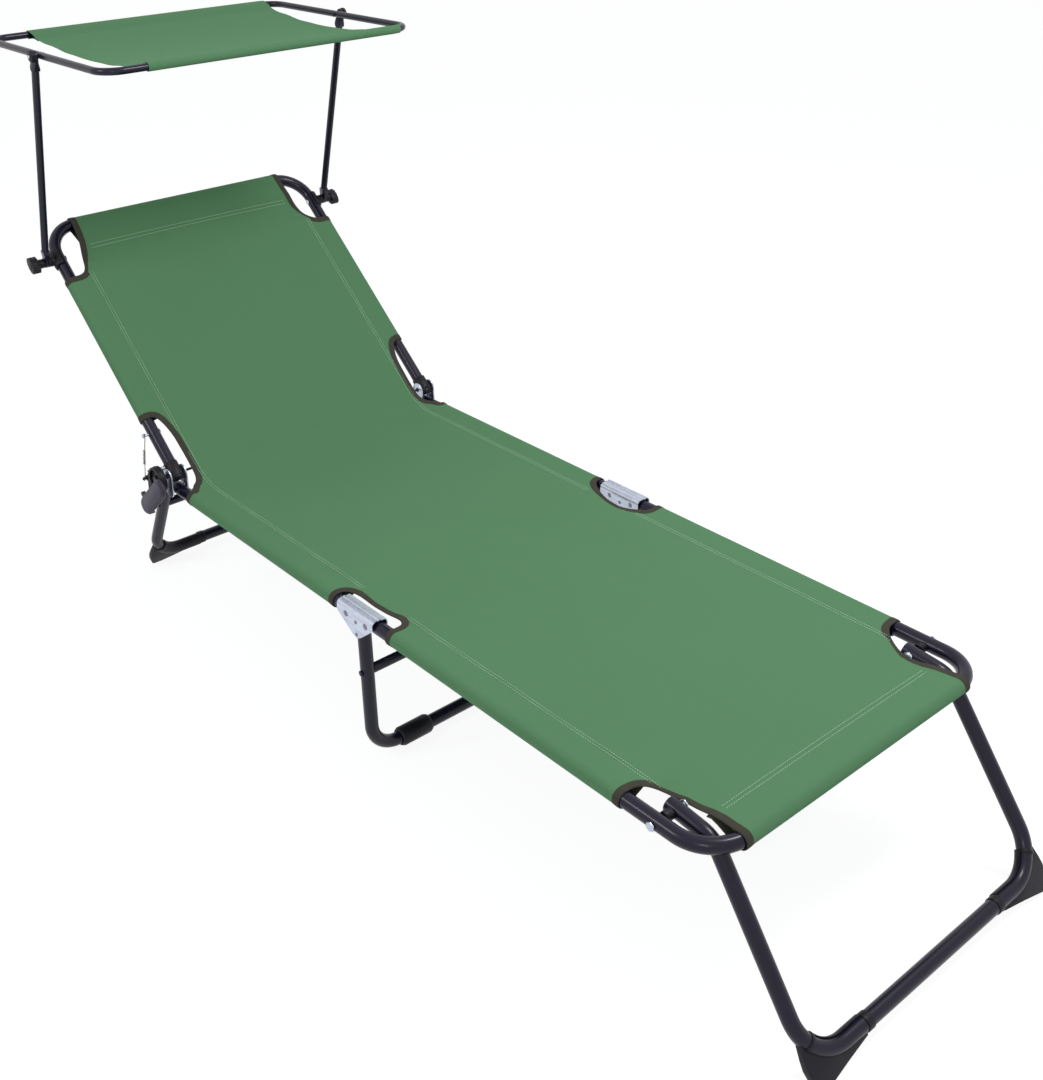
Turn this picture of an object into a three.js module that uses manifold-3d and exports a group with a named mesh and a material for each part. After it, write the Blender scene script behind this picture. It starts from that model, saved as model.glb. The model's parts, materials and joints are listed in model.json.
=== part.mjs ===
// Sun lounger with a three-section folding tube frame, a ratchet backrest and a tilting canopy.
// Lengths are in millimetres and angles in degrees. While it is built, the axis of the foot end
// bar lies at y = 0, the head end is toward +y and the floor is z = 0. Each paired piece is
// shaped on the +x side and mirrored for the other side.

import * as THREE from 'three';
import { mergeVertices } from 'three/addons/utils/BufferGeometryUtils.js';
import Module from 'manifold-3d';

const wasm = await Module();
wasm.setup();

const { degToRad } = THREE.MathUtils;

// Clearances and facets
const gap = 0.3;
const overrun = 6;
const tubeSides = 12;
const boreSides = 6;
const pinSides = 6;
const bendSteps = 4;

// Frame tubes
const frameWidth = 580;
const frameHeight = 268;
const tubeRadius = 11;
const tubeWall = 1.2;
const cornerRadius = 58;
const sideX = frameWidth / 2 - tubeRadius;
const tubeOuterX = sideX + tubeRadius;
const tubeInnerX = sideX - tubeRadius;

// Places along the frame
const kneeY = 690;
const kneeSpacing = 50;
const tubeEndInset = 8;
const seatLength = 570;
const hipRise = 27.5;
const rearPivotSetback = 77;
const seatTubeTail = 8;
const reclineAngle = 41.1;
const backrestLength = 541;
const kneeSeatY = kneeY + kneeSpacing / 2;
const kneeFootY = kneeY - kneeSpacing / 2;
const hipY = kneeY + seatLength;
const hipZ = frameHeight + hipRise;
const rearPivotY = hipY + rearPivotSetback;
const endRounding = tubeRadius + gap / 2;

// Rivets and bolts
const rivetRadius = 3;
const rivetHeadRadius = 5.6;
const rivetHeadHeight = 2.2;
const boltRadius = 4;
const boltHeadRadius = 7;
const boltHeadHeight = 3.6;

// Rear leg and foot leg
const rearLegInset = 27.5;
const footLegInset = 29.5;
const rearLegX = sideX - rearLegInset;
const footLegX = sideX - footLegInset;
const legBarHeight = 25.5;
const legBendRadius = 36;
const legTopRun = 12;
const rearLegReach = 135;
const rearBarDrop = 107;
const crossBarRadius = 8;
const footPivotY = 86.5;
const footLegTopInset = 35;
const footLegTopX = sideX - footLegTopInset;
const footLegTopRun = 13.5;
const footLegCrookY = 27;
const footLegCrookZ = 260;
const footLegCrookRadius = 46;
const footLegReach = 143;
const bushRadius = 8;

// Leg shoes
const shoeWall = 2.2;
const shoeRise = 30;
const shoeReach = 81.5;
const shoeCollar = 12;
const shoeLegCollar = 5;
const shoeOpenLevel = 5.5;
const earThickness = 12;
const earLength = 64;
const earCorner = 9;
const ribDepth = 1;
const ribCount = 4;

// Middle leg and its knee brackets
const midBendRadius = 50;
const midPadRadius = 15.5;
const midPadLength = 60;
const midBarHeight = 169.5;
const midTopClearance = 4.3;
const fixedRivetDrop = 4;
const lowRivetDrop = 26;
const bracketWall = 1.5;
const bracketFootReach = 43.4;
const bracketHeadReach = 47.7;
const bracketTipDrop = 36;
const bracketTipRadius = 7;
const bracketInnerTipDrop = 33;
const beadRadius = 1.3;
const beadSpacing = 6;
const lipHeight = 2.4;
const lipLength = 3;

// Hip plates, axle and ratchet
const knuckleWall = 1.9;
const knuckleLength = 22;
const plateThickness = 2.5;
const plateRadius = 14;
const axleRadius = 4;
const axleFlat = 1.2;
const gearRootRadius = 24;
const gearTipRadius = 28;
const gearWidth = 12;
const gearRecess = 5;
const gearHubRadius = 8;
const gearRimWall = 4;
const toothPitch = 13;
const teethAhead = 3;
const teethBehind = 3;
const housingStandoff = 10;
const housingCheek = 2;
const housingLugRadius = 6;
const studRadius = 3;
const studReach = 17.5;
const housingRadius = 18;
const housingWall = 2.5;
const housingFace = 5.5;
const housingSkirt = 6;
const housingTopS = - 21;
const housingTopN = 8.4;
const pawlPivotS = - 9.9;
const pawlPivotN = - 78.3;
const pawlHubRadius = 9;
const pawlPlate = 6;
const pawlArmRadius = 5.5;
const pawlLobeRadius = 5;
const pawlNoseAngle = - 62.1;
const pawlNoseLength = 6;
const pawlNoseTip = 1;
const pawlNoseBase = 3;
const pawlTipClearance = 0.4;
const pawlEngagedTurn = 5.1;
const pegRadius = 2.4;
const pegLength = 7;

// Tension spring
const springPinReach = 87;
const springPinLength = 9.5;
const springWire = 1.4;
const springCoilRadius = 1.9;
const springPitch = 2.4;
const springTurns = 11;
const springPinOffset = 7.5;
const springPegOffset = 4;
const springSides = 4;
const springTurnSteps = 6;

// Canopy clamps and arms
const clampReach = 474;
const saddleWall = 3.2;
const saddleLength = 30;
const saddleReach = 7;
const saddleFaceX = tubeOuterX + saddleReach;
const spacerLength = 5.9;
const spacerRadius = 9;
const clampBoltRadius = 3;
const armLength = 399;
const armAngle = 65.6;
const armRadius = 6.5;
const paddleThickness = 5;
const paddleRadius = 9;
const paddleTaper = 18;
const knobHubRadius = 8.5;
const knobHubLength = 13;
const knobGripLength = 14;
const knobHalfLength = 17;
const knobHalfWidth = 11;
const knobFluteDepth = 0.7;
const knobFlutes = 12;
const knobCap = 6;
const capRadius = 10;
const capLength = 7.2;

// Canopy
const canopySideClearance = 0.5;
const canopyFront = 233;
const canopyBack = 223;
const canopyTubeRadius = 6;
const canopyWall = 1;
const canopyCornerRadius = 36;
const canopySeam = 0.6;
const canopyPlugLength = 40;
const canopyPinRadius = 2.5;

// Cloth
const clothThickness = 1.6;
const canopyClothThickness = 1.2;
const footPanelEnd = 3;
const seatPanelStart = 3;
const seatPanelTail = 39;
const backPanelStart = - 34;
const canopyClothShift = 20;
const canopyFrontInset = 57;
const canopyBackInset = 61;
const canopyEdgeInset = 50;
const canopySag = 9;

// Plain colours and finishes
const finishes = {
	tube: { color: 0x2d2a38, roughness: 0.35, metalness: 0.6 },
	zinc: { color: 0xc8d0e0, roughness: 0.35, metalness: 0.9 },
	plastic: { color: 0x19171e, roughness: 0.6, metalness: 0 },
	housing: { color: 0x4b4655, roughness: 0.55, metalness: 0 },
	spring: { color: 0x8d8f92, roughness: 0.4, metalness: 0.9 },
	cloth: { color: 0x56875f, roughness: 0.9, metalness: 0 },
};

// Solids and geometries
function bare( geometry ) {

	const copy = geometry.clone();
	copy.deleteAttribute( 'normal' );
	copy.deleteAttribute( 'uv' );
	return mergeVertices( copy );

}

function solidOf( geometry ) {

	const { index, attributes } = bare( geometry );
	const triangles = [];
	for ( let i = 0; i < index.count; i += 3 ) {

		const corners = [ index.getX( i ), index.getX( i + 1 ), index.getX( i + 2 ) ];
		if ( new Set( corners ).size === 3 ) triangles.push( ...corners );

	}

	return new wasm.Manifold( new wasm.Mesh( {
		numProp: 3,
		vertProperties: new Float32Array( attributes.position.array ),
		triVerts: new Uint32Array( triangles ),
	} ) );

}

function geometryOf( solid ) {

	const mesh = solid.getMesh();
	const geometry = new THREE.BufferGeometry();
	geometry.setAttribute( 'position', new THREE.BufferAttribute( mesh.vertProperties, 3 ) );
	geometry.setIndex( new THREE.BufferAttribute( mesh.triVerts, 1 ) );
	return geometry;

}

function combined( operation, geometries ) {

	return geometryOf( geometries.map( solidOf ).reduce( ( whole, next ) => whole[ operation ]( next ) ) );

}

const joined = ( ...geometries ) => combined( 'add', geometries );
const cut = ( ...geometries ) => combined( 'subtract', geometries );
const shared = ( ...geometries ) => combined( 'intersect', geometries );

function mirrored( geometry ) {

	const copy = bare( geometry ).scale( - 1, 1, 1 );
	copy.index.array.reverse();
	return copy;

}

// Outlines
function ringPoints( radius, sides, x = 0, y = 0 ) {

	const points = [];
	for ( let i = 0; i < sides; i ++ ) {

		const angle = ( i + 0.5 ) / sides * 2 * Math.PI;
		points.push( new THREE.Vector2( x + radius * Math.cos( angle ), y + radius * Math.sin( angle ) ) );

	}

	return points;

}

function rectangle( left, right, low, high ) {

	return new THREE.Shape( [
		new THREE.Vector2( left, low ),
		new THREE.Vector2( right, low ),
		new THREE.Vector2( right, high ),
		new THREE.Vector2( left, high ),
	] );

}

function capsule( fromX, fromY, toX, toY, radius ) {

	const heading = Math.atan2( toY - fromY, toX - fromX );
	const quarter = Math.PI / 2;
	const shape = new THREE.Shape();
	shape.absarc( toX, toY, radius, heading - quarter, heading + quarter, false );
	shape.absarc( fromX, fromY, radius, heading + quarter, heading + 3 * quarter, false );
	return shape;

}

// The corner radius of a faceted bore whose flats stay a running clearance off a round piece
function clearOf( radius, sides = tubeSides ) {

	return ( radius + gap ) / Math.cos( Math.PI / sides );

}

function tubeSection( radius, wall ) {

	const section = new THREE.Shape( ringPoints( radius, tubeSides ) );
	section.holes.push( new THREE.Path( ringPoints( radius - wall, boreSides ) ) );
	return section;

}

function roundSection( radius, sides = tubeSides ) {

	return new THREE.Shape( ringPoints( radius, sides ) );

}

// Extrusions: a plate stands across x, a bar runs along y and a prism stands on the x-y plane
const arcSteps = 3;

function extruded( shape, depth ) {

	return new THREE.ExtrudeGeometry( shape, { depth, bevelEnabled: false, curveSegments: arcSteps } );

}

function plate( shape, fromX, toX ) {

	const x = new THREE.Vector3( 1, 0, 0 );
	const y = new THREE.Vector3( 0, 1, 0 );
	const z = new THREE.Vector3( 0, 0, 1 );
	const turn = new THREE.Matrix4().makeBasis( y, z, x );
	return extruded( shape, toX - fromX ).applyMatrix4( turn ).translate( fromX, 0, 0 );

}

function bar( shape, fromY, toY ) {

	return extruded( shape, toY - fromY ).rotateX( Math.PI / 2 ).translate( 0, toY, 0 );

}

function prism( shape, low, high ) {

	return extruded( shape, high - low ).translate( 0, 0, low );

}

// A round solid along x, from pairs of a place and a radius
function turned( stations, sides = tubeSides ) {

	const profile = stations.map( ( [ x, radius ] ) => new THREE.Vector2( radius, x ) );
	profile.unshift( new THREE.Vector2( 0, stations[ 0 ][ 0 ] ) );
	profile.push( new THREE.Vector2( 0, stations.at( - 1 )[ 0 ] ) );
	return new THREE.LatheGeometry( profile, sides ).rotateZ( - Math.PI / 2 );

}

function roundBar( fromX, toX, radius, y = 0, z = 0 ) {

	return turned( [ [ fromX, radius ], [ toX, radius ] ] ).translate( 0, y, z );

}

function pinHole( fromX, toX, radius, y = 0, z = 0 ) {

	const bore = clearOf( radius, pinSides );
	return turned( [ [ fromX, bore ], [ toX, bore ] ], pinSides ).translate( 0, y, z );

}

// A hole through every tube on both sides
function acrossHole( radius, y, z ) {

	return pinHole( - tubeOuterX - overrun, tubeOuterX + overrun, radius, y, z );

}

// A centre line that is stepped only at its own stations
class StationLine extends THREE.Curve {

	constructor( stations ) {

		super();
		this.stations = stations;

	}

	stationAt( t ) {

		return this.stations[ Math.round( t * ( this.stations.length - 1 ) ) ];

	}

	getUtoTmapping( u ) {

		return u;

	}

	getPoint( t ) {

		return this.stationAt( t ).point.clone();

	}

	getTangent( t ) {

		return this.stationAt( t ).tangent.clone();

	}

}

// The stations of one round bend
function bendStations( corner, before, after, radius ) {

	const turn = before.angleTo( after );
	const start = corner.clone().addScaledVector( before, - radius * Math.tan( turn / 2 ) );
	const inward = after.clone().addScaledVector( before, - before.dot( after ) ).normalize();
	const stations = [];
	for ( let i = 0; i <= bendSteps; i ++ ) {

		const angle = turn * i / bendSteps;
		const point = start.clone().addScaledVector( before, radius * Math.sin( angle ) );
		point.addScaledVector( inward, radius * ( 1 - Math.cos( angle ) ) );
		const tangent = before.clone().multiplyScalar( Math.cos( angle ) );
		tangent.addScaledVector( inward, Math.sin( angle ) );
		stations.push( { point, tangent } );

	}

	return stations;

}

// Straight runs between corners, with a round bend at each inner corner
function bentLine( corners, radii = [] ) {

	const points = corners.map( ( corner ) => new THREE.Vector3( ...corner ) );
	const headings = points.slice( 1 ).map( ( point, i ) => point.clone().sub( points[ i ] ).normalize() );
	const stations = [ { point: points[ 0 ], tangent: headings[ 0 ] } ];
	radii.forEach( ( radius, i ) => {

		stations.push( ...bendStations( points[ i + 1 ], headings[ i ], headings[ i + 1 ], radius ) );

	} );
	stations.push( { point: points.at( - 1 ), tangent: headings.at( - 1 ) } );
	return new StationLine( stations );

}

function swept( section, line ) {

	return new THREE.ExtrudeGeometry( section, {
		steps: line.stations.length - 1,
		extrudePath: line,
		bevelEnabled: false,
	} );

}

// A U of tube that opens toward its first and last corner
function uLine( halfWidth, openY, closedY, z, radius ) {

	return bentLine( [
		[ halfWidth, openY, z ],
		[ halfWidth, closedY, z ],
		[ - halfWidth, closedY, z ],
		[ - halfWidth, openY, z ],
	], [ radius, radius ] );

}

// Keeps a tube end inside a circle round its hinge pin, so that it turns under the bracket roof
function roundedEnd( tube, pivotY, pivotZ, farY ) {

	const quarter = Math.PI / 2;
	const shape = new THREE.Shape();
	shape.moveTo( farY, pivotZ - endRounding );
	shape.lineTo( pivotY, pivotZ - endRounding );
	shape.absarc( pivotY, pivotZ, endRounding, - quarter, quarter, farY > pivotY );
	shape.lineTo( farY, pivotZ + endRounding );
	return shared( tube, plate( shape, - tubeOuterX - overrun, tubeOuterX + overrun ) );

}

// A headed rivet or bolt along x, with an optional collar between two tubes
function headedPin( radius, innerX, outerX, headRadius, headHeight ) {

	const crown = headRadius * 0.6;
	return turned( [
		[ innerX - headHeight, crown ],
		[ innerX - headHeight / 2, headRadius ],
		[ innerX, headRadius ],
		[ innerX, radius ],
		[ outerX, radius ],
		[ outerX, headRadius ],
		[ outerX + headHeight / 2, headRadius ],
		[ outerX + headHeight, crown ],
	], pinSides );

}

// Seat frame
const seatStartY = kneeSeatY - tubeEndInset;
const seatEndY = rearPivotY + seatTubeTail;

function seatTube() {

	const line = bentLine( [ [ sideX, seatStartY, frameHeight ], [ sideX, seatEndY, frameHeight ] ] );
	const tube = swept( tubeSection( tubeRadius, tubeWall ), line );
	const rounded = roundedEnd( tube, kneeSeatY, frameHeight, seatEndY + overrun );
	return cut(
		rounded,
		acrossHole( rivetRadius, kneeSeatY, frameHeight ),
		acrossHole( boltRadius, hipY, frameHeight ),
		acrossHole( boltRadius, rearPivotY, frameHeight ),
	);

}

// Hip plates: two cheeks on the seat rivet, with the backrest tube between them
const knuckleRadius = tubeRadius + gap + knuckleWall;
const outerCheekX = sideX + knuckleRadius + gap;
const innerCheekX = sideX - knuckleRadius - gap - plateThickness;
const outerCheekFaceX = outerCheekX + plateThickness;

function hipPlate() {

	const outline = capsule( hipY, frameHeight, hipY, hipZ, plateRadius );
	const rivet = roundBar( innerCheekX + gap, outerCheekFaceX - gap, boltRadius, hipY, frameHeight );
	const cheeks = joined(
		plate( outline, outerCheekX, outerCheekFaceX ),
		plate( outline, innerCheekX, innerCheekX + plateThickness ),
		rivet,
	);
	return cut( cheeks, pinHole( 0, outerCheekFaceX + overrun, axleRadius, hipY, hipZ ) );

}

// Axle through both hips: a head at the plain end and a flat at the other for the ratchet gear
const housingCheekX = outerCheekFaceX + housingStandoff;
const gearX = housingCheekX + housingCheek + gap;
const gearFaceX = gearX + gearWidth;
const axleEndX = gearFaceX + gap;

function flatBlock( fromX, toX, offset ) {

	const high = hipZ + axleRadius + overrun;
	return plate( rectangle( hipY - overrun, hipY + overrun, hipZ + offset, high ), fromX, toX );

}

function hipAxle() {

	const headX = outerCheekFaceX + gap;
	const rod = turned( [
		[ - headX - rivetHeadHeight, rivetHeadRadius / 2 ],
		[ - headX - rivetHeadHeight / 2, rivetHeadRadius ],
		[ - headX, rivetHeadRadius ],
		[ - headX, axleRadius ],
		[ axleEndX, axleRadius ],
	] ).translate( 0, hipY, hipZ );
	return cut( rod, flatBlock( gearX - gap, axleEndX + overrun, axleRadius - axleFlat ) );

}

// Ratchet gear. The nose of the pawl drops in behind a steep tooth face.
const noseRadius = gearTipRadius + pawlTipClearance;

function polar( radius, angle ) {

	return new THREE.Vector2( radius * Math.cos( degToRad( angle ) ), radius * Math.sin( degToRad( angle ) ) );

}

function engagedNoseAngle() {

	const pivot = new THREE.Vector2( pawlPivotS, pawlPivotN );
	const nose = polar( noseRadius, pawlNoseAngle ).rotateAround( pivot, degToRad( pawlEngagedTurn ) );
	return THREE.MathUtils.radToDeg( nose.angle() ) + reclineAngle;

}

const toothShares = [ [ 0, 0 ], [ 0.5, 0 ], [ 0.92, 1 ], [ 1, 1 ] ];

function gearOutline() {

	const clearance = THREE.MathUtils.radToDeg( ( pawlTipClearance + gap ) / gearRootRadius );
	const first = engagedNoseAngle() - clearance - teethAhead * toothPitch;
	const toothCount = teethAhead + teethBehind + 1;
	const points = [];
	for ( let tooth = 0; tooth < toothCount; tooth ++ ) {

		for ( const [ turnShare, heightShare ] of toothShares ) {

			const radius = THREE.MathUtils.lerp( gearRootRadius, gearTipRadius, heightShare );
			points.push( polar( radius, first + ( tooth + turnShare ) * toothPitch ) );

		}

	}

	const start = first + toothCount * toothPitch;
	const plainSteps = 16;
	for ( let i = 0; i < plainSteps; i ++ ) {

		points.push( polar( gearRootRadius, start + i / plainSteps * ( 360 - toothCount * toothPitch ) ) );

	}

	const centre = new THREE.Vector2( hipY, hipZ );
	return new THREE.Shape( points.map( ( point ) => point.add( centre ) ) );

}

function ratchetGear() {

	const blank = plate( gearOutline(), gearX, gearFaceX );
	const recess = cut(
		roundBar( gearFaceX - gearRecess, gearFaceX + overrun, gearRootRadius - gearRimWall, hipY, hipZ ),
		roundBar( gearFaceX - gearRecess - overrun, gearFaceX + 2 * overrun, gearHubRadius, hipY, hipZ ),
	);
	const bore = cut(
		pinHole( gearX - overrun, gearFaceX + overrun, axleRadius, hipY, hipZ ),
		flatBlock( gearX - 2 * overrun, gearFaceX + 2 * overrun, axleRadius - axleFlat + gap ),
	);
	return cut( blank, recess, bore );

}

// Rear leg bolts, with a collar that keeps the leg off the side tube
function rearLegBolt() {

	const legFaceX = rearLegX + tubeRadius + gap;
	const collar = roundBar( legFaceX, tubeInnerX - gap, bushRadius, rearPivotY, frameHeight );
	const pin = headedPin(
		boltRadius, rearLegX - tubeRadius - gap, tubeOuterX + gap, boltHeadRadius, boltHeadHeight,
	).translate( 0, rearPivotY, frameHeight );
	return joined( pin, collar );

}

// Cloth panels: a flat web with a sleeve round each side tube
const clothLow = tubeRadius + gap;
const clothHigh = clothLow + clothThickness;
const sleeveRadius = clothHigh / Math.cos( Math.PI / tubeSides );
const cutOuterX = sideX + sleeveRadius + overrun;

function sidePanel( fromY, toY ) {

	const web = bar( rectangle( - sideX, sideX, clothLow, clothHigh ), fromY, toY );
	const sleeve = bar( roundSection( sleeveRadius ), fromY, toY ).translate( sideX, 0, 0 );
	const bore = bar( roundSection( clearOf( tubeRadius ) ), fromY - overrun, toY + overrun );
	bore.translate( sideX, 0, 0 );
	return cut( joined( web, sleeve, mirrored( sleeve ) ), bore, mirrored( bore ) );

}

function endSleeve( y ) {

	const flange = rectangle( - sideX, sideX, clothLow, clothHigh );
	const sleeve = roundBar( - sideX, sideX, sleeveRadius ).rotateX( Math.PI / tubeSides ).translate( 0, y, 0 );
	return joined( sleeve, bar( flange, y - clothThickness, y + clothThickness ) );

}

function endBore( y ) {

	const bore = roundBar( - frameWidth, frameWidth, clearOf( tubeRadius ) );
	return bore.rotateX( Math.PI / tubeSides ).translate( 0, y, 0 );

}

// A cut-out in the panel's edge, smooth through points of a place along the side and a half width
function cutOut( points ) {

	const [ first, ...others ] = points.map( ( [ y, x ] ) => new THREE.Vector2( x, y ) );
	const shape = new THREE.Shape();
	shape.moveTo( cutOuterX, first.y );
	shape.lineTo( first.x, first.y );
	shape.splineThru( others );
	shape.lineTo( cutOuterX, others.at( - 1 ).y );
	const depth = sleeveRadius + overrun;
	const options = { depth: 2 * depth, bevelEnabled: false, curveSegments: 2 };
	return new THREE.ExtrudeGeometry( shape, options ).translate( 0, 0, - depth );

}

// Knee cut-out
const kneeCutFoot = 100.5;
const kneeCutHead = 74.5;
const kneeCutDepth = 35;
const kneeCutShares = [
	[ - 1, 0 ], [ - 0.9, 0.62 ], [ - 0.62, 1 ], [ 0, 1 ], [ 0.55, 0.93 ], [ 0.88, 0.55 ], [ 1, 0 ],
];

function kneeCutOut() {

	return cutOut( kneeCutShares.map( ( [ lengthShare, depthShare ] ) => {

		const reach = lengthShare < 0 ? kneeCutFoot : kneeCutHead;
		const start = sideX + sleeveRadius;
		return [ kneeY + lengthShare * reach, start - depthShare * ( kneeCutDepth + sleeveRadius ) ];

	} ) );

}

// Foot corner cut-out
const footCutLength = 144;
const footCutDepth = 62;
const footCutBarDepth = 53;
const footCutShoulderDepth = 47.5;
const footCutHalf = sideX - footCutDepth;
const footCutBar = sideX - footCutBarDepth;
const footCutShoulder = sideX - footCutShoulderDepth;

function footCutOut() {

	return cutOut( [
		[ footCutLength, sideX + sleeveRadius ],
		[ footCutLength * 0.93, sideX - tubeRadius ],
		[ footCutLength * 0.7, footCutShoulder ],
		[ footCutLength * 0.4, footCutHalf ],
		[ footCutLength * 0.15, footCutHalf ],
		[ - clothHigh - overrun, footCutBar ],
	] );

}

// Hip cut-outs, on the seat panel and on the backrest panel
const hipCutSeat = 63;
const hipCutDepth = 21;
const hipWaistDepth = 27;
const hipWaistReach = 5;
const hipUpperDepth = 7;
const hipCutHalf = sideX - hipCutDepth;
const hipWaistHalf = sideX - hipWaistDepth;
const hipUpperHalf = sideX - hipUpperDepth;
const hipCutTop = 131;
const seatPanelEnd = hipY - seatPanelTail;

function seatHipCutOut() {

	const start = hipY - hipCutSeat;
	const rest = seatPanelEnd - start;
	return cutOut( [
		[ start, sideX + sleeveRadius ],
		[ start + rest * 0.16, tubeInnerX ],
		[ start + rest * 0.5, ( tubeInnerX + hipCutHalf ) / 2 ],
		[ seatPanelEnd + overrun, hipCutHalf ],
	] );

}

function backHipCutOut() {

	return cutOut( [
		[ backPanelStart - overrun, hipCutHalf ],
		[ hipWaistReach, hipWaistHalf ],
		[ hipCutTop * 0.4, hipWaistHalf + clothThickness ],
		[ hipCutTop * 0.84, hipUpperHalf ],
		[ hipCutTop, sideX + sleeveRadius ],
	] );

}

// Head corner cut-out
const headCutStart = 412;
const headCutDepth = 59.5;
const headCutShoulderDepth = 46;
const headCutBarDepth = 57;
const headCutHalf = sideX - headCutDepth;
const headCutShoulder = sideX - headCutShoulderDepth;
const headCutBar = sideX - headCutBarDepth;

function headCutOut() {

	const rest = backrestLength - headCutStart;
	return cutOut( [
		[ headCutStart, sideX + sleeveRadius ],
		[ headCutStart, tubeInnerX - gap ],
		[ headCutStart + rest * 0.14, headCutShoulder ],
		[ headCutStart + rest * 0.48, headCutHalf ],
		[ headCutStart + rest * 0.93, headCutHalf ],
		[ backrestLength + clothHigh + overrun, headCutBar ],
	] );

}

function seatSling() {

	const panel = sidePanel( kneeY + seatPanelStart, seatPanelEnd );
	const cuts = [ kneeCutOut(), seatHipCutOut() ];
	return cut( panel, ...cuts, ...cuts.map( mirrored ) ).translate( 0, 0, frameHeight );

}

function footSling() {

	const panel = sidePanel( 0, kneeY - footPanelEnd );
	const cuts = [ kneeCutOut(), footCutOut() ];
	const whole = cut( joined( panel, endSleeve( 0 ) ), endBore( 0 ) );
	return cut( whole, ...cuts, ...cuts.map( mirrored ) ).translate( 0, 0, frameHeight );

}

function backrestSling() {

	const panel = sidePanel( backPanelStart, backrestLength );
	const cuts = [ backHipCutOut(), headCutOut() ];
	const whole = cut( joined( panel, endSleeve( backrestLength ) ), endBore( backrestLength ) );
	return cut( whole, ...cuts, ...cuts.map( mirrored ) );

}

// Leg shoes, in the plane of the leg: y runs down the leg from the bottom bar's axis
const shoeRadius = tubeRadius + gap + shoeWall;

function shoeLine( legX, lean ) {

	const rise = shoeRise + legBendRadius;
	return bentLine( [ [ legX + lean * rise, - rise, 0 ], [ legX, 0, 0 ], [ 0, 0, 0 ] ], [ legBendRadius ] );

}

function floorBlock( angle ) {

	const size = frameWidth;
	return new THREE.BoxGeometry( 2 * size, 2 * size, size )
		.translate( 0, 0, - size / 2 - legBarHeight )
		.rotateX( degToRad( angle ) );

}

// The flat ear outside the bend, with ribs on its outer edge and a rounded tip
const earCornerShares = [ [ 0, - 1 ], [ 0.25, - 0.4 ], [ 0.8, 0.05 ] ];

function shoeEar( legX, angle ) {

	const floorEdge = legBarHeight / Math.sin( degToRad( angle ) );
	const lowEdge = ( legBarHeight + earThickness ) / Math.sin( degToRad( angle ) );
	const outerX = legX + shoeRadius;
	const shape = new THREE.Shape();
	const ribRise = shoeRise * 0.75;
	const ribRun = ( ribRise + floorEdge - earCorner ) / ribCount;
	shape.moveTo( legX, - shoeRise );
	shape.lineTo( outerX - ribDepth, - shoeRise );
	for ( let rib = 0; rib < ribCount; rib ++ ) {

		const high = rib * ribRun - ribRise;
		const low = high + ribRun / 2;
		shape.lineTo( outerX - ribDepth, high );
		shape.lineTo( outerX, high );
		shape.lineTo( outerX, low );
		shape.lineTo( outerX - ribDepth, low );

	}

	for ( const [ inwardShare, downShare ] of earCornerShares ) {

		shape.lineTo( outerX - ribDepth - inwardShare * earCorner, floorEdge + downShare * earCorner );

	}

	shape.lineTo( outerX - 1.4 * earCorner, lowEdge );
	shape.lineTo( outerX - earLength, lowEdge );
	shape.lineTo( outerX - earLength, 0 );
	shape.lineTo( legX - legBendRadius, - tubeRadius / 2 );
	shape.lineTo( legX - tubeRadius / 2, - legBendRadius );
	return prism( shape, - earThickness / 2, earThickness / 2 );

}

// The bend of the tube lies open on the side that faces up, between a collar at each end
function shoeWindow( legX, angle ) {

	const innerX = legX - shoeReach + shoeCollar;
	const depth = shoeRadius + legBarHeight;
	const outline = rectangle( innerX, legX + depth, shoeLegCollar - shoeRise, depth );
	return angle < 90 ? prism( outline, shoeOpenLevel, depth ) : prism( outline, - depth, - shoeOpenLevel );

}

function shoe( legX, angle, lean = 0 ) {

	const line = shoeLine( legX, lean );
	const outline = rectangle( legX - shoeReach, legX + shoeRadius, - shoeRise, legBarHeight * 3 );
	const sleeve = cut( swept( roundSection( shoeRadius ), line ), shoeWindow( legX, angle ) );
	const block = prism( outline, - frameHeight, frameHeight );
	const body = shared( joined( sleeve, shoeEar( legX, angle ) ), block );
	return cut( body, swept( roundSection( clearOf( tubeRadius ) ), line ), floorBlock( angle ) );

}

// Cross bar, coped to the legs and riveted through them
function crossBar( halfWidth ) {

	const outerFace = halfWidth + tubeRadius + gap;
	const rod = roundBar( - halfWidth, halfWidth, crossBarRadius );
	const legs = [ - 1, 1 ].map( ( side ) => {

		const leg = bar( roundSection( clearOf( tubeRadius ) ), - frameHeight, frameHeight );
		return leg.translate( side * halfWidth, 0, 0 );

	} );
	const rivet = turned( [
		[ halfWidth - tubeRadius - 3 * rivetRadius, rivetRadius ],
		[ outerFace, rivetRadius ],
		[ outerFace, rivetHeadRadius ],
		[ outerFace + rivetHeadHeight / 2, rivetHeadRadius ],
		[ outerFace + rivetHeadHeight, rivetHeadRadius / 2 ],
	], pinSides );
	return joined( cut( rod, ...legs ), rivet, mirrored( rivet ) );

}

// Rear leg, in its own plane: y runs down the leg from the pivot
const rearLegDrop = frameHeight - legBarHeight;
const rearLegAngle = THREE.MathUtils.radToDeg( Math.atan2( rearLegDrop, rearLegReach ) );
const rearLegLength = Math.hypot( rearLegDrop, rearLegReach );

function rearLegTube() {

	const line = uLine( rearLegX, - legTopRun, rearLegLength, 0, legBendRadius );
	return cut(
		swept( tubeSection( tubeRadius, tubeWall ), line ),
		acrossHole( boltRadius, 0, 0 ),
		acrossHole( rivetRadius, rearBarDrop, 0 ),
	);

}

// Foot leg, with its bent top
const footLegDrop = footLegCrookZ - legBarHeight;
const footLegAngle = THREE.MathUtils.radToDeg( Math.atan2( footLegDrop, footLegCrookY + footLegReach ) );
const footLegLean = ( footLegTopX - footLegX ) / Math.hypot( footLegDrop, footLegCrookY + footLegReach );

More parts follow.
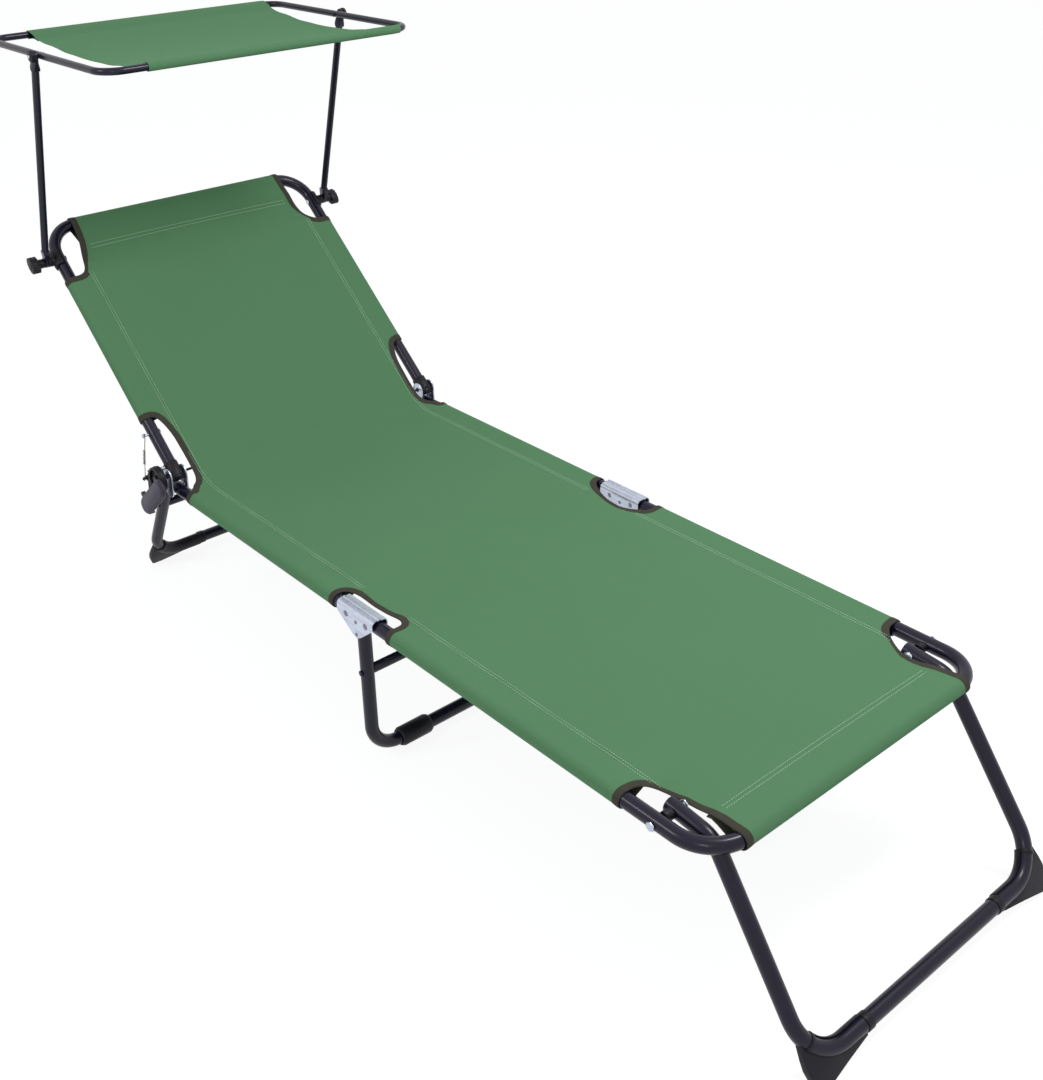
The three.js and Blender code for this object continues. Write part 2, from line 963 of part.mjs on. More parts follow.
function footLegTube() {

	const top = [ footLegTopX, footPivotY + footLegTopRun, frameHeight ];
	const crook = [ footLegTopX, footLegCrookY, footLegCrookZ ];
	const corner = [ footLegX, - footLegReach, legBarHeight ];
	const across = ( [ x, y, z ] ) => [ - x, y, z ];
	const line = bentLine(
		[ top, crook, corner, across( corner ), across( crook ), across( top ) ],
		[ footLegCrookRadius, legBendRadius, legBendRadius, footLegCrookRadius ],
	);
	const tube = swept( tubeSection( tubeRadius, tubeWall ), line );
	return cut( tube, acrossHole( boltRadius, footPivotY, frameHeight ) );

}

function footLegBush() {

	const [ inner, outer ] = [ footLegTopX + tubeRadius + gap, tubeInnerX - gap ];
	return cut(
		roundBar( inner, outer, bushRadius, footPivotY, frameHeight ),
		pinHole( inner - overrun, outer + overrun, boltRadius, footPivotY, frameHeight ),
	);

}

function footLegBolt() {

	return headedPin(
		boltRadius, footLegTopX - tubeRadius - gap, tubeOuterX + gap, boltHeadRadius, boltHeadHeight,
	).translate( 0, footPivotY, frameHeight );

}

// Foot frame
function footFrame() {

	const line = uLine( sideX, kneeFootY + tubeEndInset, 0, frameHeight, cornerRadius );
	const tube = swept( tubeSection( tubeRadius, tubeWall ), line );
	const rounded = roundedEnd( tube, kneeFootY, frameHeight, - tubeRadius - overrun );
	return cut(
		rounded,
		acrossHole( rivetRadius, kneeFootY, frameHeight ),
		acrossHole( boltRadius, footPivotY, frameHeight ),
	);

}

// Middle leg
function midLegTube() {

	const top = frameHeight + tubeRadius + gap - midTopClearance;
	const line = bentLine( [
		[ sideX, kneeY, top ],
		[ sideX, kneeY, midPadRadius ],
		[ - sideX, kneeY, midPadRadius ],
		[ - sideX, kneeY, top ],
	], [ midBendRadius, midBendRadius ] );
	return cut(
		swept( tubeSection( tubeRadius, tubeWall ), line ),
		acrossHole( rivetRadius, kneeY, frameHeight - fixedRivetDrop ),
		acrossHole( rivetRadius, kneeY, frameHeight - lowRivetDrop ),
		acrossHole( rivetRadius, kneeY, midBarHeight ),
	);

}

function midPad() {

	const outerX = sideX - midBendRadius - gap;
	const innerX = outerX - midPadLength;
	const chamfer = midPadRadius - tubeRadius - 2 * gap;
	const cornerReach = midPadRadius / Math.cos( Math.PI / tubeSides );
	const body = turned( [
		[ innerX, cornerReach - chamfer / 2 ],
		[ innerX + chamfer, cornerReach ],
		[ outerX - chamfer, cornerReach ],
		[ outerX, cornerReach - chamfer / 2 ],
	] );
	return cut( body, roundBar( innerX - overrun, outerX + overrun, clearOf( tubeRadius ) ) )
		.rotateX( Math.PI / tubeSides )
		.translate( 0, kneeY, midPadRadius );

}

// Knee bracket: a folded channel over the tube ends, cut to its side outline
const roofLow = frameHeight + tubeRadius + gap;
const roofHigh = roofLow + bracketWall;
const cheekOuterX = tubeOuterX + gap + bracketWall;
const cheekInnerX = tubeInnerX - gap - bracketWall;

function cheekOutline( tipDrop, tipRadius ) {

	const tipZ = frameHeight - tipDrop + tipRadius;
	const [ footEnd, headEnd ] = [ kneeY - bracketFootReach, kneeY + bracketHeadReach ];
	const shape = new THREE.Shape();
	shape.moveTo( headEnd, roofHigh + overrun );
	shape.lineTo( footEnd, roofHigh + overrun );
	shape.lineTo( footEnd, frameHeight );
	shape.absarc( kneeY, tipZ, tipRadius, degToRad( 225 ), degToRad( 310 ), false );
	shape.lineTo( headEnd, frameHeight - rivetRadius );
	return shape;

}

function bracketRivet( drop ) {

	return turned( [
		[ cheekInnerX - rivetHeadHeight, rivetHeadRadius * 0.6 ],
		[ cheekInnerX, rivetHeadRadius ],
		[ cheekInnerX + bracketWall / 2, rivetRadius ],
		[ cheekOuterX - bracketWall / 2, rivetRadius ],
		[ cheekOuterX, rivetHeadRadius ],
		[ cheekOuterX + rivetHeadHeight, rivetHeadRadius * 0.6 ],
	], pinSides ).translate( 0, kneeY, frameHeight - drop );

}

function kneeBracket() {

	const [ footEnd, headEnd ] = [ kneeY - bracketFootReach, kneeY + bracketHeadReach ];
	const low = frameHeight - bracketTipDrop - overrun;
	const block = bar( rectangle( cheekInnerX, cheekOuterX, low, roofHigh ), footEnd, headEnd );
	const hollow = rectangle( tubeInnerX - gap, tubeOuterX + gap, low - overrun, roofLow );
	const channel = cut( block, bar( hollow, footEnd - overrun, headEnd + overrun ) );
	const outer = plate( cheekOutline( bracketTipDrop, bracketTipRadius ), sideX, cheekOuterX + overrun );
	const inner = plate( cheekOutline( bracketInnerTipDrop, plateRadius ), cheekInnerX - overrun, sideX );
	const folded = shared( channel, joined( outer, inner ) );
	const beads = [ 1, 2 ].map( ( place ) => {

		return bar( roundSection( beadRadius, boreSides ), footEnd + overrun, headEnd - overrun )
			.translate( cheekOuterX - place * beadSpacing, 0, roofHigh );

	} );
	const lipOutline = rectangle( sideX, cheekOuterX, roofHigh - bracketWall / 2, roofHigh + lipHeight );
	const lip = bar( lipOutline, footEnd, footEnd + lipLength );
	const holes = [ kneeSeatY, kneeFootY ].map( ( y ) => acrossHole( rivetRadius, y, frameHeight ) );
	return joined(
		cut( joined( folded, ...beads, lip ), ...holes ),
		bracketRivet( fixedRivetDrop ),
		bracketRivet( lowRivetDrop ),
	);

}

function kneeRivet( y ) {

	return headedPin(
		rivetRadius, cheekInnerX - gap, cheekOuterX + gap, rivetHeadRadius, rivetHeadHeight,
	).translate( 0, y, frameHeight );

}

// Backrest frame, in its own plane: y runs up the backrest from the hip axle
function backrestFrame() {

	const line = uLine( sideX, - tubeRadius + gap, backrestLength, 0, cornerRadius );
	return cut(
		swept( tubeSection( tubeRadius, tubeWall ), line ),
		acrossHole( axleRadius, 0, 0 ),
		pinHole( - frameWidth, - sideX, studRadius, studReach, 0 ),
		pinHole( - frameWidth, 0, pegRadius, springPinReach, 0 ),
		acrossHole( clampBoltRadius, clampReach, 0 ),
	);

}

// Plastic knuckle on the lower end of the backrest tube
function knuckle( ...holes ) {

	const start = - knuckleRadius;
	const block = bar( roundSection( knuckleRadius ), start, knuckleLength ).translate( sideX, 0, 0 );
	const shape = new THREE.Shape();
	const quarter = Math.PI / 2;
	shape.moveTo( knuckleLength + overrun, - knuckleRadius - gap );
	shape.lineTo( 0, - knuckleRadius - gap );
	shape.absarc( 0, 0, knuckleRadius, - quarter, quarter, true );
	shape.lineTo( knuckleLength + overrun, knuckleRadius + gap );
	const rounded = shared( block, plate( shape, 0, frameWidth ) );
	const bore = bar( roundSection( clearOf( tubeRadius ) ), - tubeRadius, knuckleLength + overrun );
	return cut( rounded, bore.translate( sideX, 0, 0 ), acrossHole( axleRadius, 0, 0 ), ...holes );

}

// Ratchet housing: an inner cheek on the axle and the stud, a pivot post and the moulded cover outside
const housingFaceX = axleEndX + gap;
const pawlHubEndX = housingFaceX - gap;

function housingStep( radius, fromX, toX ) {

	return plate( capsule( housingTopS, housingTopN, pawlPivotS, pawlPivotN, radius ), fromX, toX );

}

function ratchetHousing() {

	const cheekEndX = housingCheekX + housingCheek;
	const arm = capsule( 0, 0, pawlPivotS, pawlPivotN, pawlHubRadius );
	const lug = capsule( 0, 0, studReach, 0, housingLugRadius );
	const cheek = cut(
		joined( plate( arm, housingCheekX, cheekEndX ), plate( lug, housingCheekX, cheekEndX ) ),
		pinHole( 0, frameWidth, axleRadius ),
		pinHole( 0, frameWidth, studRadius, studReach, 0 ),
	);
	const post = roundBar( housingCheekX + gap, housingFaceX + housingWall, boltRadius, pawlPivotS, pawlPivotN );
	const skirt = cut(
		housingStep( housingRadius, housingFaceX - housingSkirt, housingFaceX + gap ),
		housingStep( housingRadius - housingWall, housingFaceX - housingSkirt - overrun, housingFaceX + overrun ),
		plate( rectangle( - frameHeight, frameHeight, pawlPivotN, frameHeight ), 0, frameWidth ),
	);
	const crownX = housingFaceX + housingFace;
	const cover = joined(
		housingStep( housingRadius, housingFaceX, housingFaceX + housingWall ),
		housingStep( housingRadius - housingWall, housingFaceX + gap, crownX ),
		housingStep( housingRadius - 2 * housingWall, housingFaceX + gap, crownX + 2 * housingWall / 3 ),
	);
	return joined( cheek, post, cover, skirt );

}

// Stud from the backrest tube through the knuckle to the housing's cheek
function housingStud() {

	return turned( [
		[ sideX, studRadius ],
		[ housingCheekX + housingCheek, studRadius ],
	], pinSides ).translate( 0, studReach, 0 );

}

// Pawl: hub on the post, nose for the gear, ear with the spring peg and a thumb lobe
const pegS = 26;
const pegN = - 42;
const lobeS = 19;
const lobeN = - 96;
const pawlInnerX = housingCheekX + housingCheek + gap;
const pawlPlateX = pawlInnerX + pawlPlate;

function pawlNose() {

	const root = noseRadius + pawlNoseLength;
	const turnOf = ( width, radius ) => THREE.MathUtils.radToDeg( width / radius );
	return new THREE.Shape( [
		polar( noseRadius, pawlNoseAngle ),
		polar( noseRadius, pawlNoseAngle + turnOf( pawlNoseTip, noseRadius ) ),
		polar( root, pawlNoseAngle + turnOf( pawlNoseTip + pawlNoseBase, root ) ),
		polar( root + pawlArmRadius, pawlNoseAngle + turnOf( pawlNoseBase, root ) ),
		polar( root + pawlArmRadius, pawlNoseAngle ),
	].reverse() );

}

function ratchetPawl() {

	const base = polar( noseRadius + pawlNoseLength + pawlArmRadius, pawlNoseAngle );
	const arms = [
		plate( capsule( pawlPivotS, pawlPivotN, base.x, base.y, pawlArmRadius ), pawlInnerX, pawlPlateX ),
		plate( capsule( base.x, base.y, pegS, pegN, pawlLobeRadius ), pawlInnerX, pawlPlateX ),
		plate( capsule( pawlPivotS, pawlPivotN, lobeS, lobeN, pawlLobeRadius ), pawlInnerX, pawlPlateX ),
		plate( pawlNose(), pawlInnerX, pawlPlateX ),
	];
	const hub = roundBar( pawlInnerX, pawlHubEndX, pawlHubRadius, pawlPivotS, pawlPivotN );
	const peg = roundBar( pawlPlateX - gap, pawlPlateX + pegLength, pegRadius, pegS, pegN );
	return joined(
		cut( joined( ...arms, hub ), pinHole( 0, frameWidth, boltRadius, pawlPivotS, pawlPivotN ) ),
		peg,
	);

}

// Pin that holds the upper end of the spring
const springPinEndX = tubeOuterX + springPinLength + gap;

function springPin() {

	const head = pegRadius + springWire;
	return turned( [
		[ tubeInnerX - gap - rivetHeadHeight, rivetHeadRadius * 0.6 ],
		[ tubeInnerX - gap, rivetHeadRadius ],
		[ tubeInnerX - gap, pegRadius ],
		[ springPinEndX, pegRadius ],
		[ springPinEndX, head ],
		[ springPinEndX + springWire, head ],
	], pinSides ).translate( 0, springPinReach, 0 );

}

// Tension spring: an open eye round the pin, close coils, and an open eye round the peg
function springFrame() {

	const top = new THREE.Vector3( tubeOuterX + springPinOffset, springPinReach, 0 );
	const bottom = new THREE.Vector3( pawlPlateX + springPegOffset, pegS, pegN );
	const down = bottom.clone().sub( top ).normalize();
	const across = new THREE.Vector3( 1, 0, 0 ).addScaledVector( down, - down.x ).normalize();
	const side = new THREE.Vector3().crossVectors( across, down ).negate();
	return { top, bottom, down, across, side, length: top.distanceTo( bottom ) };

}

function springPoints() {

	const { top, bottom, down, across, side, length } = springFrame();
	const eyeRadius = pegRadius + gap + springWire / 2 + pawlTipClearance / 2;
	const eyeTurn = 1.5 * Math.PI;
	const eyeSteps = 9;
	const coilLength = springPitch * springTurns;
	const lead = ( length - coilLength ) / 2;
	const points = [];
	const add = ( centre, outward, downward, sideways ) => {

		const point = centre.clone().addScaledVector( side, outward ).addScaledVector( down, downward );
		points.push( point.addScaledVector( across, sideways ) );

	};

	for ( let i = 0; i <= eyeSteps; i ++ ) {

		const angle = eyeTurn * ( i / eyeSteps - 1 );
		add( top, eyeRadius * Math.cos( angle ), eyeRadius * Math.sin( angle ), 0 );

	}

	for ( let i = 0; i <= springTurns * springTurnSteps; i ++ ) {

		const turns = i / springTurnSteps;
		const angle = 2 * Math.PI * turns;
		const [ out, sideways ] = [ springCoilRadius * Math.cos( angle ), springCoilRadius * Math.sin( angle ) ];
		add( top, out, lead + springPitch * turns, sideways );

	}

	for ( let i = 0; i <= eyeSteps; i ++ ) {

		const angle = eyeTurn * i / eyeSteps;
		add( bottom, eyeRadius * Math.cos( angle ), eyeRadius * Math.sin( angle ), 0 );

	}

	return points;

}

// The least gap between stretches of the wire that lie over half a turn apart
function leastSelfGap( points ) {

	let least = Infinity;
	const apart = springTurnSteps / 2 + 1;
	points.forEach( ( point, i ) => {

		for ( const other of points.slice( i + apart ) ) {

			least = Math.min( least, point.distanceTo( other ) );

		}

	} );
	return least - springWire;

}

function tensionSpring() {

	const points = springPoints();
	const stations = points.map( ( point, i ) => {

		const before = points[ Math.max( i - 1, 0 ) ];
		const after = points[ Math.min( i + 1, points.length - 1 ) ];
		return { point, tangent: after.clone().sub( before ).normalize() };

	} );
	console.log( `least gap between the spring's turns: ${ leastSelfGap( points ).toFixed( 2 ) } mm` );
	return swept( roundSection( springWire / 2, springSides ), new StationLine( stations ) );

}

// Canopy clamp: saddle, bolt, spacer and knob on one axis
const spacerX = saddleFaceX + gap;
const paddleX = spacerX + spacerLength + gap;
const canopyHalfWidth = paddleX - canopySideClearance - canopyTubeRadius;
const paddleEndX = paddleX + paddleThickness;
const knobX = paddleEndX + gap;
const gripX = knobX + knobHubLength;
const knobEndX = gripX + knobGripLength;

function clampSaddle() {

	const outer = tubeRadius + gap + saddleWall;
	const [ low, high ] = [ clampReach - saddleLength / 2, clampReach + saddleLength / 2 ];
	const shell = bar( roundSection( outer ), low, high ).translate( sideX, 0, 0 );
	const half = shared( shell, plate( rectangle( low, high, - outer, outer ), sideX, frameWidth ) );
	const boss = roundBar( sideX + tubeRadius, saddleFaceX, spacerRadius + gap, clampReach, 0 );
	const bore = bar( roundSection( clearOf( tubeRadius ) ), low - overrun, high + overrun );
	return cut(
		joined( half, boss ),
		bore.translate( sideX, 0, 0 ),
		pinHole( 0, frameWidth, clampBoltRadius, clampReach, 0 ),
	);

}

function clampBolt() {

	const innerX = tubeInnerX - gap;
	return turned( [
		[ innerX - rivetHeadHeight, rivetHeadRadius * 0.6 ],
		[ innerX - rivetHeadHeight / 2, rivetHeadRadius ],
		[ innerX, rivetHeadRadius ],
		[ innerX, clampBoltRadius ],
		[ gripX + knobGripLength / 2, clampBoltRadius ],
	], pinSides ).translate( 0, clampReach, 0 );

}

function armSpacer() {

	return cut(
		roundBar( spacerX, spacerX + spacerLength, spacerRadius ),
		pinHole( 0, frameWidth, clampBoltRadius ),
	);

}

// Arm: a round tube flattened to a paddle at each end
function armSideOutline() {

	const [ low, high ] = [ - paddleRadius - overrun, armLength + paddleRadius + overrun ];
	const middle = ( paddleX + paddleEndX ) / 2;
	const half = paddleThickness / 2;
	const full = armRadius + gap;
	const points = [
		[ half, low ], [ half, paddleRadius ], [ full, paddleRadius + paddleTaper ],
		[ full, armLength - paddleRadius - paddleTaper ], [ half, armLength - paddleRadius ], [ half, high ],
	];
	const right = points.map( ( [ x, y ] ) => new THREE.Vector2( middle + x, y ) );
	const left = points.map( ( [ x, y ] ) => new THREE.Vector2( middle - x, y ) ).reverse();
	return new THREE.Shape( [ ...right, ...left ] );

}

function canopyArm() {

	const middle = ( paddleX + paddleEndX ) / 2;
	const rod = bar( roundSection( armRadius ), 0, armLength ).translate( middle, 0, 0 );
	const paddles = [ 0, armLength ].map( ( y ) => {

		const inward = y === 0 ? paddleTaper : - paddleTaper;
		return plate( capsule( y, 0, y + inward, 0, paddleRadius ), paddleX - overrun, paddleEndX + overrun );

	} );
	const taper = prism( armSideOutline(), - frameWidth, frameWidth );
	const body = shared( joined( rod, ...paddles ), taper );
	return cut(
		body,
		pinHole( 0, frameWidth, clampBoltRadius ),
		pinHole( 0, frameWidth, canopyPinRadius, armLength, 0 ),
	);

}

// Knob: hub and a fluted oval grip
function gripOutline() {

	const points = [];
	const steps = 4 * knobFlutes;
	for ( let i = 0; i < steps; i ++ ) {

		const angle = i / steps * 2 * Math.PI;
		const flute = i % 4 < 2 ? 0 : knobFluteDepth;
		const x = ( knobHalfLength - flute ) * Math.cos( angle );
		points.push( new THREE.Vector2( x, ( knobHalfWidth - flute ) * Math.sin( angle ) ) );

	}

	return new THREE.Shape( points );

}

function clampKnob() {

	const hub = turned( [
		[ knobX, knobHubRadius - gap ],
		[ knobX + knobHubLength / 2, knobHubRadius ],
		[ gripX + gap, knobHubRadius ],
	] );
	const grip = plate( gripOutline(), gripX, knobEndX );
	const cap = turned( [
		[ knobEndX - gap, knobCap ],
		[ knobEndX + gap, knobCap ],
		[ knobEndX + 2 * gap, knobCap / 2 ],
	] );
	const bore = pinHole( knobX - overrun, gripX + knobGripLength / 2 + gap, clampBoltRadius );
	return cut( joined( hub, grip, cap ), bore );

}

// Canopy pivot: a round cap outside the paddle on the pin through the arm and the canopy tube
function pivotCap() {

	const innerX = canopyHalfWidth - canopyTubeRadius - gap;
	return turned( [
		[ innerX - rivetHeadHeight, rivetHeadRadius * 0.5 ],
		[ innerX - rivetHeadHeight / 2, rivetHeadRadius * 0.8 ],
		[ innerX, rivetHeadRadius * 0.8 ],
		[ innerX, canopyPinRadius ],
		[ knobX, canopyPinRadius ],
		[ knobX, capRadius ],
		[ knobX + capLength * 0.7, capRadius ],
		[ knobX + capLength * 0.85, capRadius * 0.88 ],
		[ knobX + capLength * 0.85, capRadius * 0.45 ],
		[ knobX + capLength, capRadius * 0.4 ],
	] ).translate( 0, armLength, 0 );

}

// Canopy frame, level: y is measured from the pivot, toward the head end
function canopyFrame() {

	const seam = canopySeam / 2;
	const line = bentLine( [
		[ seam, canopyBack, 0 ],
		[ canopyHalfWidth, canopyBack, 0 ],
		[ canopyHalfWidth, - canopyFront, 0 ],
		[ - canopyHalfWidth, - canopyFront, 0 ],
		[ - canopyHalfWidth, canopyBack, 0 ],
		[ - seam, canopyBack, 0 ],
	], new Array( 4 ).fill( canopyCornerRadius ) );
	const loop = swept( tubeSection( canopyTubeRadius, canopyWall ), line );
	const plugRadius = canopyTubeRadius - canopyWall / 2;
	const plug = roundBar( - canopyPlugLength / 2, canopyPlugLength / 2, plugRadius, canopyBack, 0 );
	const outerX = canopyHalfWidth + canopyTubeRadius + overrun;
	return cut( joined( loop, plug ), pinHole( - outerX, outerX, canopyPinRadius ) );

}

// Canopy cloth: a sleeve round the front and back rail and a slightly sagging web between them
function canopyWeb() {

	const low = canopyTubeRadius + gap;
	const high = low + canopyClothThickness;
	const middle = ( canopyBack - canopyFront ) / 2;
	const web = new THREE.Shape();
	web.moveTo( - canopyFront, low );
	web.quadraticCurveTo( middle, low - 2 * canopySag, canopyBack, low );
	web.lineTo( canopyBack, high );
	web.quadraticCurveTo( middle, high - 2 * canopySag, - canopyFront, high );
	return web;

}

function canopyPlan() {

	const [ front, back ] = [ - canopyFront - canopyCornerRadius, canopyBack + canopyCornerRadius ];
	const middle = ( front + back ) / 2;
	const frontHalf = canopyHalfWidth - canopyFrontInset;
	const backHalf = canopyHalfWidth - canopyBackInset;
	const waist = ( frontHalf + backHalf ) / 2 - 2 * canopyEdgeInset;
	const shape = new THREE.Shape();
	shape.moveTo( - frontHalf, front );
	shape.lineTo( frontHalf, front );
	shape.quadraticCurveTo( waist, middle, backHalf, back );
	shape.lineTo( - backHalf, back );
	shape.quadraticCurveTo( - waist, middle, - frontHalf, front );
	return shape;

}

function canopyCloth() {

	const half = canopyHalfWidth;
	const outer = ( canopyTubeRadius + gap + canopyClothThickness ) / Math.cos( Math.PI / tubeSides );
	const rails = [ - canopyFront, canopyBack ];
	const sleeves = rails.map( ( y ) => roundBar( - half, half, outer, y, 0 ) );
	const bores = rails.map( ( y ) => roundBar( - frameWidth, frameWidth, clearOf( canopyTubeRadius ), y, 0 ) );
	const whole = joined( plate( canopyWeb(), - half, half ), ...sleeves );
	const trimmed = shared( whole, prism( canopyPlan(), - canopyCornerRadius, canopyCornerRadius ) );
	return cut( trimmed, ...bores ).translate( canopyClothShift, 0, 0 );

}

// Assembly
function addPiece( group, name, geometry, finish ) {

	const mesh = new THREE.Mesh( geometry, new THREE.MeshStandardMaterial( { ...finish, flatShading: true } ) );
	mesh.name = name;
	group.add( mesh );

}

function addPair( group, name, geometry, finish ) {

	addPiece( group, `${ name }_left`, mirrored( geometry ), finish );
	addPiece( group, `${ name }_right`, geometry, finish );

}

function addLeft( group, name, geometry, finish ) {

	addPiece( group, `${ name }_left`, mirrored( geometry ), finish );

}

function groupAt( parent, y, z, angle ) {

	const group = new THREE.Group();
	group.position.set( 0, y, z );
	group.rotation.x = degToRad( angle );
	parent.add( group );
	return group;

}

function addSeat( lounger ) {

	addPair( lounger, 'seat_tube', seatTube(), finishes.tube );
	addPiece( lounger, 'seat_sling', seatSling(), finishes.cloth );
	addPair( lounger, 'hip_plate', hipPlate(), finishes.zinc );
	addPiece( lounger, 'hip_axle', mirrored( hipAxle() ), finishes.tube );
	addLeft( lounger, 'ratchet_gear', ratchetGear(), finishes.plastic );
	addPair( lounger, 'rear_leg_bolt', rearLegBolt(), finishes.zinc );

}

function addRearLeg( lounger ) {

	const leg = groupAt( lounger, rearPivotY, frameHeight, - rearLegAngle );
	addPiece( leg, 'rear_leg_tube', rearLegTube(), finishes.tube );
	addPiece( leg, 'rear_cross_bar', crossBar( rearLegX ).translate( 0, rearBarDrop, 0 ), finishes.tube );
	const bottom = groupAt( leg, rearLegLength, 0, 0 );
	addPair( bottom, 'rear_foot', shoe( rearLegX, rearLegAngle ), finishes.plastic );

}

function addMiddleLeg( lounger ) {

	addPiece( lounger, 'mid_leg_tube', midLegTube(), finishes.tube );
	const barGroup = groupAt( lounger, kneeY, midBarHeight, - 90 );
	addPiece( barGroup, 'mid_cross_bar', crossBar( sideX ), finishes.tube );
	addPair( lounger, 'mid_pad', midPad(), finishes.plastic );
	addPair( lounger, 'knee_bracket', kneeBracket(), finishes.zinc );
	addPair( lounger, 'knee_rivet_seat', kneeRivet( kneeSeatY ), finishes.zinc );
	addPair( lounger, 'knee_rivet_foot', kneeRivet( kneeFootY ), finishes.zinc );

}

function addFootSection( lounger ) {

	addPiece( lounger, 'foot_frame', footFrame(), finishes.tube );
	addPiece( lounger, 'foot_sling', footSling(), finishes.cloth );
	addPair( lounger, 'foot_leg_bolt', footLegBolt(), finishes.zinc );
	addPair( lounger, 'foot_leg_bush', footLegBush(), finishes.plastic );
	addPiece( lounger, 'foot_leg_tube', footLegTube(), finishes.tube );
	const bottom = groupAt( lounger, - footLegReach, legBarHeight, 0 );
	bottom.rotation.set( degToRad( footLegAngle - 180 ), 0, 0 );
	addPair( bottom, 'foot_leg_foot', shoe( footLegX, 180 - footLegAngle, footLegLean ), finishes.plastic );

}

function addBackrest( lounger ) {

	const backrest = groupAt( lounger, hipY, hipZ, reclineAngle );
	addPiece( backrest, 'backrest_frame', backrestFrame(), finishes.tube );
	addPiece( backrest, 'backrest_sling', backrestSling(), finishes.cloth );
	const studHole = pinHole( sideX, frameWidth, studRadius, studReach, 0 );
	addLeft( backrest, 'knuckle', knuckle( studHole ), finishes.plastic );
	addPiece( backrest, 'knuckle_right', knuckle(), finishes.plastic );
	addLeft( backrest, 'ratchet_housing', ratchetHousing(), finishes.housing );
	addLeft( backrest, 'housing_stud', housingStud(), finishes.zinc );
	addLeft( backrest, 'ratchet_pawl', ratchetPawl(), finishes.plastic );
	addLeft( backrest, 'tension_spring', tensionSpring(), finishes.spring );
	addLeft( backrest, 'spring_pin', springPin(), finishes.zinc );
	addPair( backrest, 'clamp_saddle', clampSaddle(), finishes.plastic );
	addPair( backrest, 'clamp_bolt', clampBolt(), finishes.zinc );
	return backrest;

}

function addCanopy( backrest ) {

	const arms = groupAt( backrest, clampReach, 0, armAngle );
	addPair( arms, 'canopy_arm', canopyArm(), finishes.tube );
	addPair( arms, 'arm_spacer', armSpacer(), finishes.plastic );
	addPair( arms, 'canopy_pivot_cap', pivotCap(), finishes.plastic );
	addPair( groupAt( arms, 0, 0, - armAngle ), 'clamp_knob', clampKnob(), finishes.plastic );
	const canopy = groupAt( arms, armLength, 0, - armAngle - reclineAngle );
	addPiece( canopy, 'canopy_frame', canopyFrame(), finishes.tube );
	addPiece( canopy, 'canopy_cloth', canopyCloth(), finishes.cloth );

}

function buildLounger() {

	const lounger = new THREE.Group();
	addSeat( lounger );
	addRearLeg( lounger );
	addMiddleLeg( lounger );
	addFootSection( lounger );
	addCanopy( addBackrest( lounger ) );
	const box = new THREE.Box3().setFromObject( lounger, true );
	const middle = box.getCenter( new THREE.Vector3() );
	lounger.position.set( - middle.x, - middle.y, - box.min.z );
	return lounger;

}

export default buildLounger();
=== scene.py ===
import json
import math

import bmesh
import bpy
from mathutils import Matrix, Vector


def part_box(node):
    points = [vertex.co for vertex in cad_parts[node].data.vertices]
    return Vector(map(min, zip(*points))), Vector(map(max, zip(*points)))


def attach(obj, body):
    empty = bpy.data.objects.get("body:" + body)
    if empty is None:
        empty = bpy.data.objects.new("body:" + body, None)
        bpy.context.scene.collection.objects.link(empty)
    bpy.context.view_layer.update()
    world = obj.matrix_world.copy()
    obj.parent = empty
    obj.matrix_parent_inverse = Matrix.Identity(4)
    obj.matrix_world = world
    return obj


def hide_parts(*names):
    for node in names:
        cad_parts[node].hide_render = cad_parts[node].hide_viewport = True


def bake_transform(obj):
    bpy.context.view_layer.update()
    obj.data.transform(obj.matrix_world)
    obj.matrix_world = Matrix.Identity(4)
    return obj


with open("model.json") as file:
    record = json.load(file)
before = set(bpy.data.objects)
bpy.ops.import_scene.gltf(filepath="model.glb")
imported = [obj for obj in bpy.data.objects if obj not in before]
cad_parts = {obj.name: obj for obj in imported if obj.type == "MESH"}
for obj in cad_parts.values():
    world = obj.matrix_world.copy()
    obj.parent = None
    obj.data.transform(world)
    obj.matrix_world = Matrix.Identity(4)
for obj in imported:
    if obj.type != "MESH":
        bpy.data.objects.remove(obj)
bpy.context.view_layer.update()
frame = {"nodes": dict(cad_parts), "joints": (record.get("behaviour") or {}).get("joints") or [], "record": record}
bpy.ops.object.select_all(action="DESELECT")

# sizes that several pieces share, in metres
tube = dict(radius=0.011, corner=0.058, pastHip=-0.0107)
hinge = {j["name"]: Vector(j["pos_m"]) for j in frame["joints"]}
footLow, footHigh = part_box("foot_frame")
barY = footLow.y + tube["radius"]
sideX = footHigh.x - tube["radius"]
frameZ = (footLow.z + footHigh.z) / 2
kneeY = (hinge["knee_seat_hinge"].y + hinge["knee_foot_hinge"].y) / 2
hip = hinge["backrest_recline"]
recline = math.radians(41.1)
backLength = 0.541
sides = (("left", -1), ("right", 1))


# directions in the side plane: along the cloth where it rises at an angle, and out of its face
def alongAt(angle):
    return Vector((0, math.cos(angle), math.sin(angle)))


def outAt(angle):
    return Vector((0, -math.sin(angle), math.cos(angle)))


def onBack(s):  # a place on the backrest's middle line, s up it from the hip
    return Vector((0, hip.y, hip.z)) + alongAt(recline) * s


# materials
class Sock:
    def __init__(self, build, link):
        self.build, self.link = build, link

    def math(self, operation, other, swap=False):
        a, b = (other, self) if swap else (self, other)
        return self.build.node("ShaderNodeMath", dict(operation=operation), {0: a, 1: b})

    def __add__(self, other):
        return self.math("ADD", other)

    def __radd__(self, other):
        return self.math("ADD", other, True)

    def __mul__(self, other):
        return self.math("MULTIPLY", other)

    def __rmul__(self, other):
        return self.math("MULTIPLY", other, True)

    def __gt__(self, other):
        return self.math("GREATER_THAN", other)


